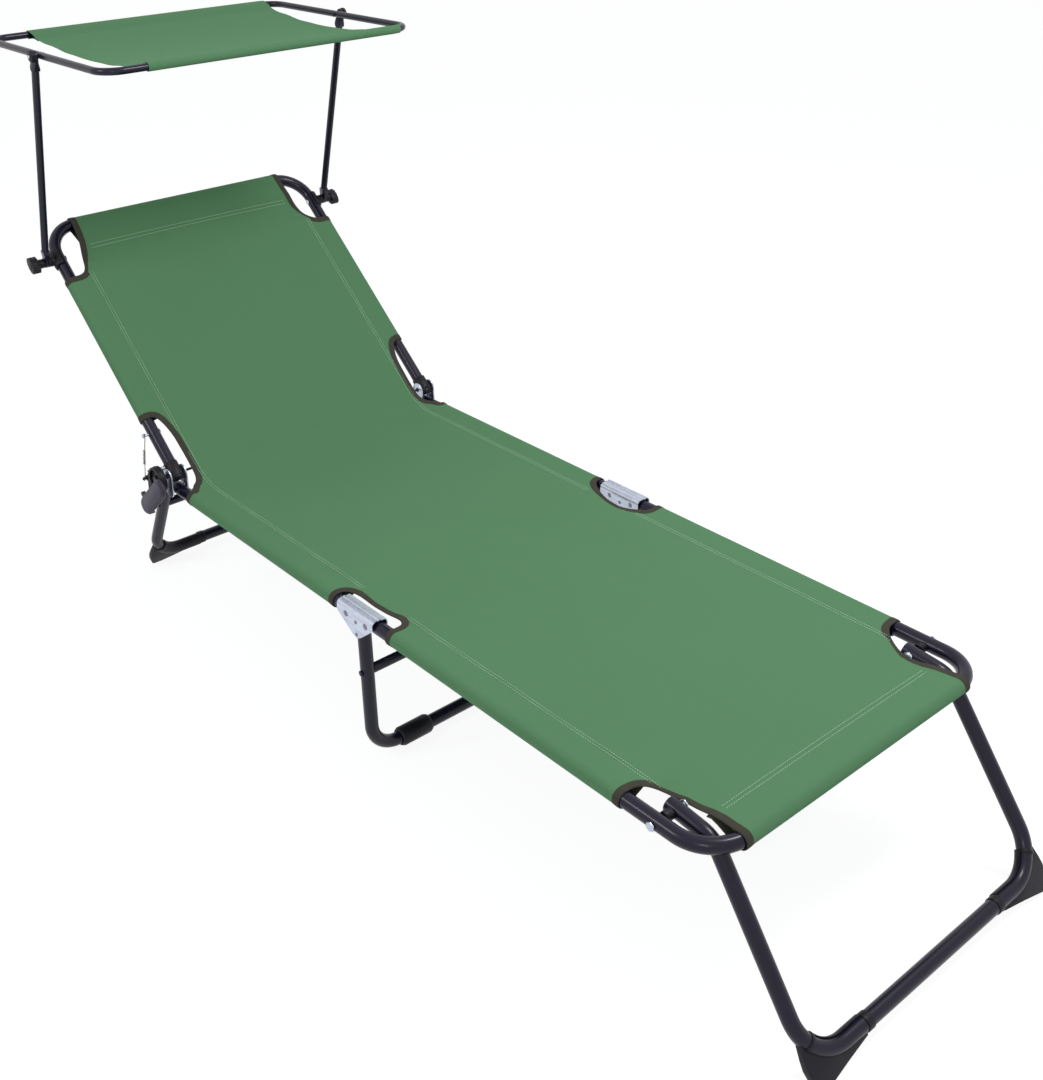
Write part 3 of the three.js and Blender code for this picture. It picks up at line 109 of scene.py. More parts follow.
class Surface:
    def __init__(self, name):
        self.material = bpy.data.materials.new(name)
        self.material.use_nodes = True
        self.tree = self.material.node_tree
        self.shader = self.tree.nodes["Principled BSDF"]

    def feed(self, socket, value):
        if isinstance(value, Sock):
            self.tree.links.new(value.link, socket)
        else:
            socket.default_value = value

    def node(self, kind, settings, inputs, output=0):
        made = self.tree.nodes.new(kind)
        for key, value in settings.items():
            setattr(made, key, value)
        for key, value in inputs.items():
            self.feed(made.inputs[key], value)
        return Sock(self, made.outputs[output])

    def coords(self, kind="Object"):
        made = self.tree.nodes.new("ShaderNodeTexCoord")
        return Sock(self, made.outputs[kind])

    def scaled(self, vector, by):
        return self.node("ShaderNodeMapping", {}, {"Vector": vector, "Scale": by})

    def noise(self, vector, scale, detail=2.0, roughness=0.5):
        return self.node("ShaderNodeTexNoise", {}, {
            "Vector": vector, "Scale": scale, "Detail": detail, "Roughness": roughness})

    def mix(self, share, a, b):
        return self.node("ShaderNodeMix", dict(data_type="RGBA"), {0: share, 6: a, 7: b}, 2)

    def tones(self, share, tone, low, high):
        return self.mix(share, shade(tone, low), shade(tone, high))

    def bump(self, height, strength, distance):
        return self.node("ShaderNodeBump", {}, {
            "Height": height, "Strength": strength, "Distance": distance})

    def finish(self, **inputs):
        for name, value in inputs.items():
            self.feed(self.shader.inputs[name.replace("_", " ")], value)
        return self.material


def shade(colour, by):
    return tuple(min(1.0, c * by) for c in colour[:3]) + (1.0,)


def makeCoat():
    tone = (0.0066, 0.0052, 0.0190)
    s = Surface("coatedTube")
    place = s.coords()
    cloud = s.noise(place, 9.0, 3.0)
    peel = s.noise(place, 900.0, 2.0)
    scuff = s.noise(s.scaled(place, (60, 60, 60)), 6.0, 4.0, 0.7) > 0.71
    base = s.tones(cloud, tone, 0.86, 1.16)
    base = s.mix(scuff * 0.14, base, shade(tone, 3.0))
    return s.finish(
        Base_Color=base, Roughness=0.27 + cloud * 0.1 + scuff * 0.08, Metallic=0.0,
        Specular_IOR_Level=0.23, Coat_Weight=0.14, Coat_Roughness=0.06,
        Normal=s.bump(peel, 0.10, 0.0002))


def makeZinc(name="zincPlate", tone=(0.60, 0.65, 0.78)):
    s = Surface(name)
    place = s.coords()
    spangle = s.node("ShaderNodeTexVoronoi", {}, {"Vector": place, "Scale": 420.0}, 1)
    cloud = s.noise(place, 60.0, 3.0)
    rolled = s.noise(s.scaled(place, (420, 12, 420)), 1.0, 3.0)
    base = s.tones(cloud, tone, 0.82, 1.08)
    base = s.mix((rolled > 0.54) * 0.5, base, shade(tone, 0.66))
    base = s.mix(0.10, base, spangle)
    dirt = s.noise(place, 240.0, 4.0, 0.7) > 0.66
    base = s.mix(dirt * 0.18, base, shade(tone, 0.4))
    return s.finish(
        Base_Color=base, Metallic=0.95, Roughness=0.24 + cloud * 0.18,
        Normal=s.bump(cloud, 0.12, 0.0004))


def makeMoulded(name, tone, rough=0.42):
    s = Surface(name)
    place = s.coords()
    cloud = s.noise(place, 40.0, 2.0)
    grain = s.noise(place, 1900.0, 2.0)
    base = s.tones(cloud, tone, 0.85, 1.2)
    return s.finish(
        Base_Color=base, Roughness=rough + cloud * 0.12, Specular_IOR_Level=0.25,
        Normal=s.bump(grain, 0.16, 0.00025))


def makeWire():
    tone = (0.050, 0.048, 0.062)
    s = Surface("springWire")
    drawn = s.noise(s.scaled(s.coords(), (900, 900, 90)), 1.0, 2.0)
    return s.finish(
        Base_Color=s.tones(drawn, tone, 0.8, 1.2), Metallic=0.6,
        Roughness=0.3 + drawn * 0.15)


# woven threads over and under each other, in metres of cloth
def weave(s, pitch):
    across = s.node("ShaderNodeSeparateXYZ", {}, {0: s.coords("UV")})
    along = Sock(s, across.link.node.outputs[1])
    waves = [(axis * (2 * math.pi / pitch)).math("SINE", 0.0) for axis in (across, along)]
    return waves[0] * waves[1]


def makeCloth(name, tone, pitch=0.0011):
    s = Surface(name)
    threads = weave(s, pitch)
    uv = s.coords("UV")
    cloud = s.noise(uv, 5.0, 3.0)
    slub = s.noise(s.scaled(uv, (900, 40, 1)), 1.0, 2.0)
    weft = s.noise(s.scaled(uv, (40, 900, 1)), 1.0, 2.0)
    base = s.tones(cloud, tone, 0.94, 1.06)
    base = s.mix((slub + weft) * 0.16, base, shade(tone, 1.35))
    base = s.mix(threads * 0.05 + 0.05, base, shade(tone, 0.6))
    height = threads * 0.5 + (slub + weft) * 0.35
    return s.finish(
        Base_Color=base, Roughness=0.86 + cloud * 0.08, Specular_IOR_Level=0.25,
        Sheen_Weight=0.18, Sheen_Roughness=0.5,
        Sheen_Tint=shade(tone, 3.0), Normal=s.bump(height, 0.35, 0.0003))


def makeTape():
    tone = (0.040, 0.038, 0.026)
    s = Surface("edgeTape")
    threads = weave(s, 0.0016)
    cloud = s.noise(s.coords("UV"), 60.0, 3.0)
    base = s.tones(cloud, tone, 0.7, 1.35)
    return s.finish(
        Base_Color=base, Roughness=0.8, Specular_IOR_Level=0.3,
        Normal=s.bump(threads + cloud * 0.6, 0.4, 0.0004))


def makeThread():
    tone = (0.40, 0.60, 0.43)
    s = Surface("sewingThread")
    twist = s.noise(s.coords(), 1500.0, 2.0)
    return s.finish(Base_Color=s.tones(twist, tone, 0.8, 1.15), Roughness=0.6)


clothTone = (0.091, 0.216, 0.104)
coat = makeCoat()
zinc = makeZinc()
# rivet heads: the zinc finish in a darker tone, painted shade so the domes stand out on the bright bracket
rivetPaintedShade = makeZinc("rivetPaintedShade", (0.17, 0.18, 0.26))
blackPlastic = makeMoulded("blackPlastic", (0.0052, 0.0044, 0.0085))
shellPlastic = makeMoulded("shellPlastic", (0.056, 0.050, 0.074), 0.46)
springWire = makeWire()
slingCloth = makeCloth("slingCloth", clothTone)
canopyWeave = makeCloth("canopyWeave", clothTone, 0.0009)
edgeTape = makeTape()
thread = makeThread()
print("materials made")


# frame tubes
def roundedPath(corners, radii, step=math.radians(6)):
    points = [Vector(corners[0])]
    for before, corner, after, radius in zip(corners, corners[1:], corners[2:], radii):
        before, corner, after = Vector(before), Vector(corner), Vector(after)
        come, leave = (corner - before).normalized(), (after - corner).normalized()
        turn = come.angle(leave)
        start = corner - come * radius * math.tan(turn / 2)
        inward = (leave - come * come.dot(leave)).normalized()
        count = max(2, round(turn / step))
        for i in range(count + 1):
            angle = turn * i / count
            ahead = come * radius * math.sin(angle)
            points.append(start + ahead + inward * radius * (1 - math.cos(angle)))
    points.append(Vector(corners[-1]))
    return points


def makeMesh(name, points, faces, material, uvs=None):
    data = bpy.data.meshes.new(name)
    data.from_pydata([tuple(p) for p in points], [], faces)
    if uvs:
        layer = data.uv_layers.new(name="cloth")
        for loop in data.loops:
            layer.data[loop.index].uv = uvs[loop.vertex_index]
    data.materials.append(material)
    piece = bpy.data.objects.new(name, data)
    bpy.context.scene.collection.objects.link(piece)
    return piece


def pick(piece):
    bpy.ops.object.select_all(action="DESELECT")
    piece.select_set(True)
    bpy.context.view_layer.objects.active = piece


def smooth(piece, angle):
    pick(piece)
    bpy.ops.object.shade_smooth_by_angle(angle=math.radians(angle))
    bpy.ops.object.select_all(action="DESELECT")
    return piece


def addRim(piece, angle, width, segments):
    rim = piece.modifiers.new("rim", "BEVEL")
    rim.limit_method = "ANGLE"
    rim.angle_limit = math.radians(angle)
    rim.width = width
    rim.segments = segments
    return rim


def addWall(piece, thickness, offset):
    wall = piece.modifiers.new("wall", "SOLIDIFY")
    wall.thickness = thickness
    wall.offset = offset
    applyAll(piece)


def applyAll(piece):
    pick(piece)
    for modifier in list(piece.modifiers):
        bpy.ops.object.modifier_apply(modifier=modifier.name)
    bpy.ops.object.select_all(action="DESELECT")
    return piece


def outward(piece):
    shape = bmesh.new()
    shape.from_mesh(piece.data)
    bmesh.ops.remove_doubles(shape, verts=shape.verts, dist=1e-6)
    bmesh.ops.recalc_face_normals(shape, faces=shape.faces)
    shape.to_mesh(piece.data)
    shape.free()
    return piece


# the faces of rings of n points each, joined in a row and closed at both ends
def ringFaces(rings, n):
    faces = []
    for i in range(rings - 1):
        for k in range(n):
            faces.append([i * n + k, i * n + (k + 1) % n, (i + 1) * n + (k + 1) % n, (i + 1) * n + k])
    faces.append(list(range(n))[::-1])
    faces.append([(rings - 1) * n + k for k in range(n)])
    return faces


# a bent tube in the place of a CAD node: a curve with a round bevel, made a mesh with rounded rims
def bentTube(name, corners, radii, radius, body, node):
    path = roundedPath(corners, radii)
    bpy.ops.curve.primitive_bezier_curve_add(location=(0, 0, 0))
    piece = bpy.context.object
    piece.name = name
    piece.data.name = name
    piece.data.splines.clear()
    spline = piece.data.splines.new("POLY")
    spline.points.add(len(path) - 1)
    for spot, p in zip(spline.points, path):
        spot.co = (p.x, p.y, p.z, 1)
    piece.data.dimensions = "3D"
    piece.data.bevel_depth = radius
    piece.data.bevel_resolution = 6
    piece.data.use_fill_caps = True
    bpy.ops.object.convert(target="MESH")
    piece = bpy.context.object
    piece.data.materials.clear()
    piece.data.materials.append(coat)
    addRim(piece, 60, min(0.0016, radius * 0.2), 3)
    applyAll(piece)
    smooth(piece, 40)
    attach(piece, body)
    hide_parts(node)


# the corners of a U: down its right side and up its left, from (y, z) at the open end to the bar
def uCorners(x, opening, bar):
    return [(x, *opening), (x, *bar), (-x, *bar), (-x, *opening)]


def placeTubes():
    r = tube["radius"]
    for side, sign in sides:
        node = "seat_tube_" + side
        line = [(sign * sideX, end.y, frameZ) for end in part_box(node)]
        bentTube("seat_rail_" + side, line, [], r, "seat", node)
    corners = uCorners(sideX, (footHigh.y, frameZ), (barY, frameZ))
    bentTube("foot_rail", corners, [tube["corner"]] * 2, r, "foot_section", "foot_frame")
    start, stop = onBack(tube["pastHip"]), onBack(backLength)
    corners = uCorners(sideX, start.yz, stop.yz)
    bentTube("back_rail", corners, [tube["corner"]] * 2, r, "backrest", "backrest_frame")


legs = dict(rearX=0.2515, footX=0.2495, bar=0.0255, bend=0.062, topRun=0.012, reach=0.135)
footLeg = dict(topX=0.244, topRun=0.0135, crookAhead=0.027, crookZ=0.260, crookBend=0.046, reach=0.143)
midLeg = dict(bar=0.0155, bend=0.050)


def placeLegs():
    r = tube["radius"]
    pivot = hinge["rear_leg_fold"]
    bar = Vector((0, pivot.y + legs["reach"], legs["bar"]))
    up = (pivot - bar).normalized()
    top = pivot + up * legs["topRun"]
    corners = uCorners(legs["rearX"], top.yz, bar.yz)
    bentTube("rear_leg", corners, [legs["bend"]] * 2, r, "rear_leg", "rear_leg_tube")

    pivot = hinge["foot_leg_fold"]
    topX, crookY = footLeg["topX"], barY + footLeg["crookAhead"]
    half = [(topX, pivot.y + footLeg["topRun"], frameZ), (topX, crookY, footLeg["crookZ"]),
            (legs["footX"], barY - footLeg["reach"], legs["bar"])]
    other = [(-a, b, c) for a, b, c in reversed(half)]
    bends = [footLeg["crookBend"], legs["bend"], legs["bend"], footLeg["crookBend"]]
    footCorner, footUp = Vector(half[2]), (Vector(half[1]) - Vector(half[2])).normalized()
    bentTube("foot_leg", half + other, bends, r, "foot_leg", "foot_leg_tube")

    placeShoes("rear_shoe", "rear_foot", "rear_leg", Vector((legs["rearX"], *bar.yz)), up)
    placeShoes("foot_shoe", "foot_leg_foot", "foot_leg", footCorner, footUp)

    corners = uCorners(sideX, (kneeY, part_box("mid_leg_tube")[1].z), (kneeY, midLeg["bar"]))
    bentTube("mid_leg_bow", corners, [midLeg["bend"]] * 2, r, "mid_leg", "mid_leg_tube")


# shoes at the leg corners: a trough under the bend, a collar at each end and an ear outside the bend
shoe = dict(legReach=0.11, legRun=0.081, legCollar=0.005, barCollar=0.012, barReach=0.1115,
            wall=(0.0113, 0.0132), collar=0.0122, collarRim=0.0012, collarEdge=0.0009,
            open=math.radians(104), earHalf=0.0046, rim=0.0006, arcs=18, stations=24)
# the ear's outline, as (inward along the bar, up the leg) from the corner, round it from the leg
earOutline = [
    (-0.0035, 0.032), (-0.0068, 0.015), (-0.0082, 0.002), (-0.0062, -0.012), (-0.0022, -0.023),
    (0.003, -0.029), (0.012, -0.03), (0.018, -0.0285), (0.056, -0.0205), (0.098, -0.0128),
    (0.098, -0.006), (0.06, 0.0), (0.045, 0.0025), (0.03, 0.009), (0.0182, 0.0182),
    (0.009, 0.03), (0.006, 0.036)]


# the place and the heading at a run along a line of points
def alongLine(line, run):
    for a, b in zip(line, line[1:]):
        span = (b - a).length
        if run <= span:
            return a.lerp(b, run / span), (b - a).normalized()
        run -= span
    return line[-1], (line[-1] - line[-2]).normalized()


# sweeps rings of points, given as runs and lists of (toward facing, sideways)
def sweptSolid(line, facing, sections):
    points = []
    for run, section in sections:
        place, heading = alongLine(line, run)
        side = heading.cross(facing).normalized()
        points += [place + facing * a + side * b for a, b in section]
    return points, ringFaces(len(sections), len(sections[0][1]))


def troughSection():
    inner, outer = shoe["wall"]
    half = shoe["arcs"] // 2
    turns = [shoe["open"] * (i / half - 1) for i in range(shoe["arcs"] + 1)]
    arc = [(-outer * math.cos(t), outer * math.sin(t)) for t in turns]
    return arc + [(-inner * math.cos(t), inner * math.sin(t)) for t in reversed(turns)]


def discSection(radius, corners=24):
    turns = [2 * math.pi * i / corners for i in range(corners)]
    return [(radius * math.cos(t), radius * math.sin(t)) for t in turns]


def collarSections(low, high):
    rim, full = discSection(shoe["wall"][1] - shoe["collarRim"]), discSection(shoe["collar"])
    edge = shoe["collarEdge"]
    return [(low, rim), (low + edge, full), (high - edge, full), (high, rim)]


def makeShoe(name, corner, up, inward, facing):
    corners = [corner + up * shoe["legReach"], corner, corner + inward * shoe["barReach"]]
    line = roundedPath(corners, [legs["bend"]], math.radians(5))
    whole = sum((b - a).length for a, b in zip(line, line[1:]))
    first, last, stations = shoe["legRun"], whole - shoe["barCollar"], shoe["stations"]
    trough = [(first + (last - first) * i / stations, troughSection()) for i in range(stations + 1)]
    shapes = [sweptSolid(line, facing, sections) for sections in (
        trough, collarSections(last, whole), collarSections(first, first + shoe["legCollar"]))]
    ear = [corner + inward * a + up * b for a, b in earOutline]
    plate = [p + facing * h for h in (-shoe["earHalf"], shoe["earHalf"]) for p in ear]
    shapes.append((plate, ringFaces(2, len(ear))))
    points, faces = [], []
    for some, loops in shapes:
        faces += [[k + len(points) for k in loop] for loop in loops]
        points += [Vector((p.x, p.y, max(p.z, 0.0))) for p in some]
    piece = makeMesh(name, points, faces, blackPlastic)
    outward(piece)
    addRim(piece, 50, shoe["rim"], 2)
    applyAll(piece)
    return smooth(piece, 35)


def placeShoes(name, node, body, corner, up):
    facing = up.cross(Vector((1, 0, 0))).normalized()
    facing = facing if facing.z > 0 else -facing
    for side, sign in sides:
        flip = Vector((sign, 1, 1))
        piece = makeShoe(f"{name}_{side}", corner * flip, up * flip, Vector((-sign, 0, 0)), facing)
        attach(piece, body)
        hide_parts(f"{node}_{side}")


# knee brackets: folded sheet with rounded folds, two beads on the roof and riveted cheeks
bracket = dict(foot=0.0434, head=0.0477, roof=0.0128, outer=0.0128, inner=0.0128, fold=0.0055,
               wall=0.0015, tip=0.036, innerTip=0.033, headLip=0.003, tipRound=0.007, softShare=0.45,
               stations=36, bead=0.0014, beadHalf=0.0018, beads=(0.0015, 0.0075),
               rivet=0.0032, rivetHigh=0.0011, rivetDrops=(0.004, 0.026))


# the cheek's lower edge, y from the knee, rounded at the tip
def cheekFoot(y, tip):
    footShare = (y + bracket["foot"]) / bracket["foot"]
    headShare = (bracket["head"] - y) / bracket["head"]
    slope = min(tip * footShare, bracket["headLip"] + (tip - bracket["headLip"]) * headShare)
    soft = bracket["tipRound"] * bracket["softShare"] * math.exp(-(y / bracket["tipRound"]) ** 2)
    return -(slope - soft)


# the folded sheet across the tube: up the outer cheek, over the roof and down the inner cheek
def bracketSection(y):
    roof, outer, inner, fold = (bracket[k] for k in ("roof", "outer", "inner", "fold"))
    outerFoot, innerFoot = cheekFoot(y, bracket["tip"]), cheekFoot(y, bracket["innerTip"])
    line = [(outer, outerFoot * (1 - i / 4) + (roof - fold) * i / 4) for i in range(4)]
    turns = [math.pi / 2 * i / 6 for i in range(7)]
    line += [(outer - fold * (1 - math.cos(t)), roof - fold * (1 - math.sin(t))) for t in turns]
    for middle in bracket["beads"]:
        for share in (1, 0.5, 0, -0.5, -1):
            rise = bracket["bead"] * (1 - share * share)
            line.append((outer - fold - middle + share * bracket["beadHalf"], roof + rise))
    line += [(-inner + fold * (1 - math.sin(t)), roof - fold * (1 - math.cos(t))) for t in turns]
    line += [(-inner, (roof - fold) * (1 - i / 4) + innerFoot * i / 4) for i in range(1, 5)]
    return line


# a rivet head, as rings of (share of its radius, share of its height)
domeShares = ((1.0, -0.2), (1.0, 0.25), (0.8, 0.75), (0.4, 1.0))


def addDome(points, faces, place, out, radius, high, corners=16):
    across = Vector((0, 1, 0))
    up = out.cross(across)
    faces += [[len(points) + k for k in loop] for loop in ringFaces(len(domeShares), corners)]
    for share, rise in domeShares:
        for k in range(corners):
            turn = 2 * math.pi * k / corners
            spoke = across * math.cos(turn) + up * math.sin(turn)
            points.append(place + spoke * radius * share + out * high * rise)


def placeBrackets():
    count = bracket["stations"]
    for side, sign in sides:
        points, faces = [], []
        for i in range(count + 1):
            y = -bracket["foot"] + (bracket["foot"] + bracket["head"]) * i / count
            section = bracketSection(y)
            points += [Vector((sign * (sideX + a), kneeY + y, frameZ + b)) for a, b in section]
        n = len(section)
        for i in range(count):
            for k in range(n - 1):
                faces.append([i * n + k, i * n + k + 1, (i + 1) * n + k + 1, (i + 1) * n + k][::sign])
        piece = makeMesh("knee_channel_" + side, points, faces, zinc)
        addWall(piece, bracket["wall"], -1)
        smooth(piece, 40)
        heads = ([], [])
        reach = bracket["outer"] + bracket["wall"]
        for across in (1, -1):
            out = Vector((sign * across, 0, 0))
            for drop in bracket["rivetDrops"]:
                place = Vector((sign * (sideX + across * reach), kneeY, frameZ - drop))
                addDome(*heads, place, out, bracket["rivet"], bracket["rivetHigh"])
        # the rivet heads take the darker zinc, painted shade
        rivets = smooth(outward(makeMesh("knee_rivets_" + side, *heads, rivetPaintedShade)), 40)
        for each in (piece, rivets):
            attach(each, "mid_leg")
        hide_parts("knee_bracket_" + side)


# the hip rod: thick in the hinge parts, thin under the cloth, with a head at its right end
hipRod = dict(thick=0.004, thin=0.0024, rim=0.0006, thickFrom=0.2640, thinTo=0.2620,
              head=((0.0022, 0.004), (0.0021, 0.0066), (0.0006, 0.0062), (0.0, 0.0045)))


def placeHipRod():
    low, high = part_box("hip_axle")
    thick, thin, y, z = hipRod["thick"], hipRod["thin"], hip.y, hip.z
    runs = [(low.x, thick - hipRod["rim"]), (low.x + hipRod["rim"], thick), (-hipRod["thickFrom"], thick),
            (-hipRod["thinTo"], thin), (hipRod["thinTo"], thin), (hipRod["thickFrom"], thick)]
    runs += [(high.x - back, radius) for back, radius in hipRod["head"]]
    line = [Vector((low.x, y, z)), Vector((high.x, y, z))]
    sections = [(x - low.x, discSection(radius)) for x, radius in runs]
    points, faces = sweptSolid(line, Vector((0, 0, 1)), sections)
    piece = smooth(outward(makeMesh("hip_rod", points, faces, coat)), 40)
    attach(piece, "seat")
    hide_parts("hip_axle")


placeTubes()
placeLegs()
placeBrackets()
placeHipRod()
print("tubes made")

# sling cloth
cloth = dict(thickness=0.0010, level=0.009, sag=0.0016, creaseRadius=0.11, rideOff=0.0010,
             sideStitch=0.040, headStitch=0.058, footStitch=0.044, flap=0.007, row=0.012, step=0.0026,
             columns=20, outerRun=0.006, wrapAt=0.2779, hemMark=0.03, pullFade=0.045, endFade=0.2,
             rodFade=0.05, dropWidth=0.24)
creaseY = hip.y - (hip.z - frameZ) / math.tan(recline)
creaseRun = cloth["creaseRadius"] * math.tan(recline / 2)
creaseStart = creaseY - creaseRun - barY
creaseEnd = creaseStart + cloth["creaseRadius"] * recline
backOffset = creaseEnd + (hip.z - frameZ) / math.sin(recline) - creaseRun  # cloth length at the hip axle
clothEnd = backOffset + backLength


# the place, the direction along and the direction out of the frame's plane, v metres up the cloth
def baseAt(v):
    if v <= creaseStart:
        return Vector((0, barY + v, frameZ)), 0.0
    if v >= creaseEnd:
        return onBack(v - backOffset), recline
    angle = (v - creaseStart) / cloth["creaseRadius"]
    turn = cloth["creaseRadius"]
    y, z = creaseStart + turn * math.sin(angle), turn * (1 - math.cos(angle))
    return Vector((0, barY + y, frameZ + z)), angle


def clothPoint(x, v, n):
    place, angle = baseAt(v)
    return Vector((x, place.y - n * math.sin(angle), place.z + n * math.cos(angle)))


# cut-outs, as places along the cloth and half widths, from the foot end up
cutOuts = dict(
    foot=[(0.0, 0.2305), (0.015, 0.23), (0.035, 0.2285), (0.06, 0.2275), (0.08, 0.2278),
          (0.098, 0.231), (0.115, 0.2378), (0.128, 0.246), (0.136, 0.255), (0.1395, 0.264),
          (0.14, 0.271), (0.1402, 0.278)],
    knee=[(0.617, 0.278), (0.6174, 0.27), (0.6184, 0.2625), (0.6215, 0.2565), (0.6275, 0.2525),
          (0.638, 0.2498), (0.652, 0.2482), (0.67, 0.2475), (0.693, 0.2488), (0.718, 0.2515),
          (0.734, 0.2555), (0.746, 0.262), (0.752, 0.2695), (0.753, 0.278)],
    hip=[(1.205, 0.278), (1.21, 0.2745), (1.217, 0.27), (1.2235, 0.265), (1.229, 0.259),
         (1.239, 0.2535), (1.253, 0.2505), (1.27, 0.2498), (1.289, 0.2498), (1.308, 0.2503),
         (1.33, 0.2512), (1.348, 0.254), (1.364, 0.2587), (1.3745, 0.264), (1.379, 0.27),
         (1.38, 0.278)],
    head=[(1.6915, 0.278), (1.6918, 0.272), (1.693, 0.262), (1.6965, 0.254), (1.7035, 0.2475),
          (1.716, 0.2415), (1.734, 0.2368), (1.7545, 0.2325), (1.775, 0.2295), (1.795, 0.228),
          (clothEnd, 0.2275)],
)
# places from the backrest's start to the head bar were measured with the hip axle at hipMark
backStart, hipMark = 1.24, 1.2669
for name in ("hip", "head"):
    cutOuts[name] = [(v - hipMark + backOffset if backStart < v < clothEnd else v, x)
                     for v, x in cutOuts[name]]


# a smooth line through points, as a Catmull-Rom spline
def through(points, steps=4):
    ends = [points[0]] + list(points) + [points[-1]]
    line = []
    for a, b, c, d in zip(ends, ends[1:], ends[2:], ends[3:]):
        for i in range(steps):
            t = i / steps
            line.append(tuple(
                0.5 * (2 * q + (r - p) * t + (2 * p - 5 * q + 4 * r - s) * t * t
                       + (3 * q - p - 3 * r + s) * t ** 3)
                for p, q, r, s in zip(a, b, c, d)))
    return line + [tuple(points[-1])]


# the loop of cloth round a tube: (d, n, nd, nn, share), where d is inward of the axis, n is out of
# the frame's plane, nd, nn is the outer normal there and share is how far it follows the web
def loopRound(reach, level, radius, flap, arcSteps=16, runSteps=4):
    def tangent(height, sign):
        toPoint = math.atan2(height, reach)
        return toPoint + sign * math.acos(radius / math.hypot(reach, height))

    under = level - 2.4 * cloth["thickness"]
    first, last = tangent(level, 1), tangent(under, -1) + 2 * math.pi
    turns = [first + (last - first) * i / arcSteps for i in range(arcSteps + 1)]
    ring = [(radius * math.cos(a), radius * math.sin(a), math.cos(a), math.sin(a), 0) for a in turns]
    (startD, startN), (stopD, stopN) = ring[0][:2], ring[-1][:2]
    shares = [i / runSteps for i in range(1, runSteps + 1)]
    out = [(reach + (startD - reach) * t, level + (startN - level) * t, 0, 1, 1 - t)
           for t in shares[:-1]]
    back = [(stopD + (reach - stopD) * t, stopN + (under - stopN) * t, 0, -1, t) for t in shares]
    return out, ring, back + [(reach + flap, under, 0, -1, 1)]


def eased(t):
    t = min(1.0, max(0.0, t))
    return t * t * (3 - 2 * t)


def rowsBetween(low, high):
    count = max(1, round((high - low) / cloth["row"]))
    return [low + (high - low) * i / count for i in range(1, count)]


# rows of the whole cloth, each with its place v, depth n or None on the web, half width, whether it
# wraps the side tubes, the outer normal and how far it follows the web
def addRow(rows, v, n, width, wraps, normal=(0, 1), share=0):
    rows.append(dict(v=v, n=n, width=width, wraps=wraps, normal=normal, share=share))


def clothRows():
    radius = tube["radius"] + cloth["rideOff"]
    rows = []
    out, ring, back = loopRound(cloth["footStitch"], cloth["level"], radius, cloth["flap"])
    for d, n, nd, nn, share in reversed(ring + back):
        addRow(rows, d, n, cutOuts["foot"][0][1], False, (nd, nn), share)
    footEdge = through(cutOuts["foot"])
    for d, n, nd, nn, share in reversed(out):
        addRow(rows, d, n, widthAt(footEdge, d), False, (nd, nn), share)
    addEdge(rows, [p for p in footEdge if p[0] > cloth["footStitch"] - 0.002])
    for name in ("knee", "hip"):
        for v in rowsBetween(rows[-1]["v"], cutOuts[name][0][0]):
            addRow(rows, v, None, None, True)
        addEdge(rows, through(cutOuts[name]))
    headEdge = through(cutOuts["head"])
    for v in rowsBetween(rows[-1]["v"], headEdge[0][0]):
        addRow(rows, v, None, None, True)
    addEdge(rows, [p for p in headEdge if p[0] < clothEnd - cloth["headStitch"] + 0.002])
    out, ring, back = loopRound(cloth["headStitch"], cloth["level"], radius, cloth["flap"])
    for d, n, nd, nn, share in out:
        addRow(rows, clothEnd - d, n, widthAt(headEdge, clothEnd - d), False, (-nd, nn), share)
    for d, n, nd, nn, share in ring + back:
        addRow(rows, clothEnd - d, n, cutOuts["head"][-1][1], False, (-nd, nn), share)
    return rows


def widthAt(edge, v):
    for (v0, x0), (v1, x1) in zip(edge, edge[1:]):
        if v0 <= v <= v1:
            return x0 + (x1 - x0) * (v - v0) / max(v1 - v0, 1e-9)
    return edge[0][1] if v < edge[0][0] else edge[-1][1]


def addEdge(rows, edge):
    for v, x in edge:
        wraps = x > cloth["wrapAt"]
        if rows and rows[-1]["v"] >= v - 2e-4 and rows[-1]["n"] is None:
            if (v, x) != edge[-1]:
                continue
            rows.pop()
        addRow(rows, v, None, None if wraps else x, wraps)


# how far the web is pulled up toward the side tubes, which fades in the cut-outs
def pullAt(v):
    spans = [(cutOuts[a][-1][0], cutOuts[b][0][0])
             for a, b in (("foot", "knee"), ("knee", "hip"), ("hip", "head"))]
    return max(eased(1 + min(v - low, high - v) / cloth["pullFade"]) for low, high in spans)


# the free edges in the cut-outs hang lower than the web: places, reaches and depths
drops = ((0.085, 0.055, 0.009), (0.6865, 0.0665, 0.0088), (clothEnd - 0.078, 0.038, 0.008))
dropEaseShare = 0.9
# slow waves in the web: height, then turns in a metre of v and x, how far they wander, and a start
ripples = dict(height=0.0005, alongTurns=31, wander=2.1, wanderTurns=9, acrossTurns=13, start=0.7)


def rippleAt(x, v):
    wave = v * ripples["alongTurns"] + ripples["wander"] * math.sin(x * ripples["wanderTurns"])
    across = x * ripples["acrossTurns"] + ripples["start"]
    return math.sin(wave) * math.sin(across) * ripples["height"]


# how high the web lies over the plane of the frame's axes
def webLevel(x, v):
    share = max(0.0, 1 - (x / (sideX - cloth["sideStitch"])) ** 2)
    ends = eased(v / cloth["endFade"]) * eased((clothEnd - v) / cloth["endFade"])
    overRod = 1 - math.exp(-((v - backOffset) / cloth["rodFade"]) ** 2)
    hang = (rippleAt(x, v) - cloth["sag"] * share) * ends * overRod
    drop = sum(depth * eased((reach - abs(v - place)) / (reach * dropEaseShare))
               for place, reach, depth in drops)
    return cloth["level"] + hang - drop * (x / cloth["dropWidth"]) ** 2


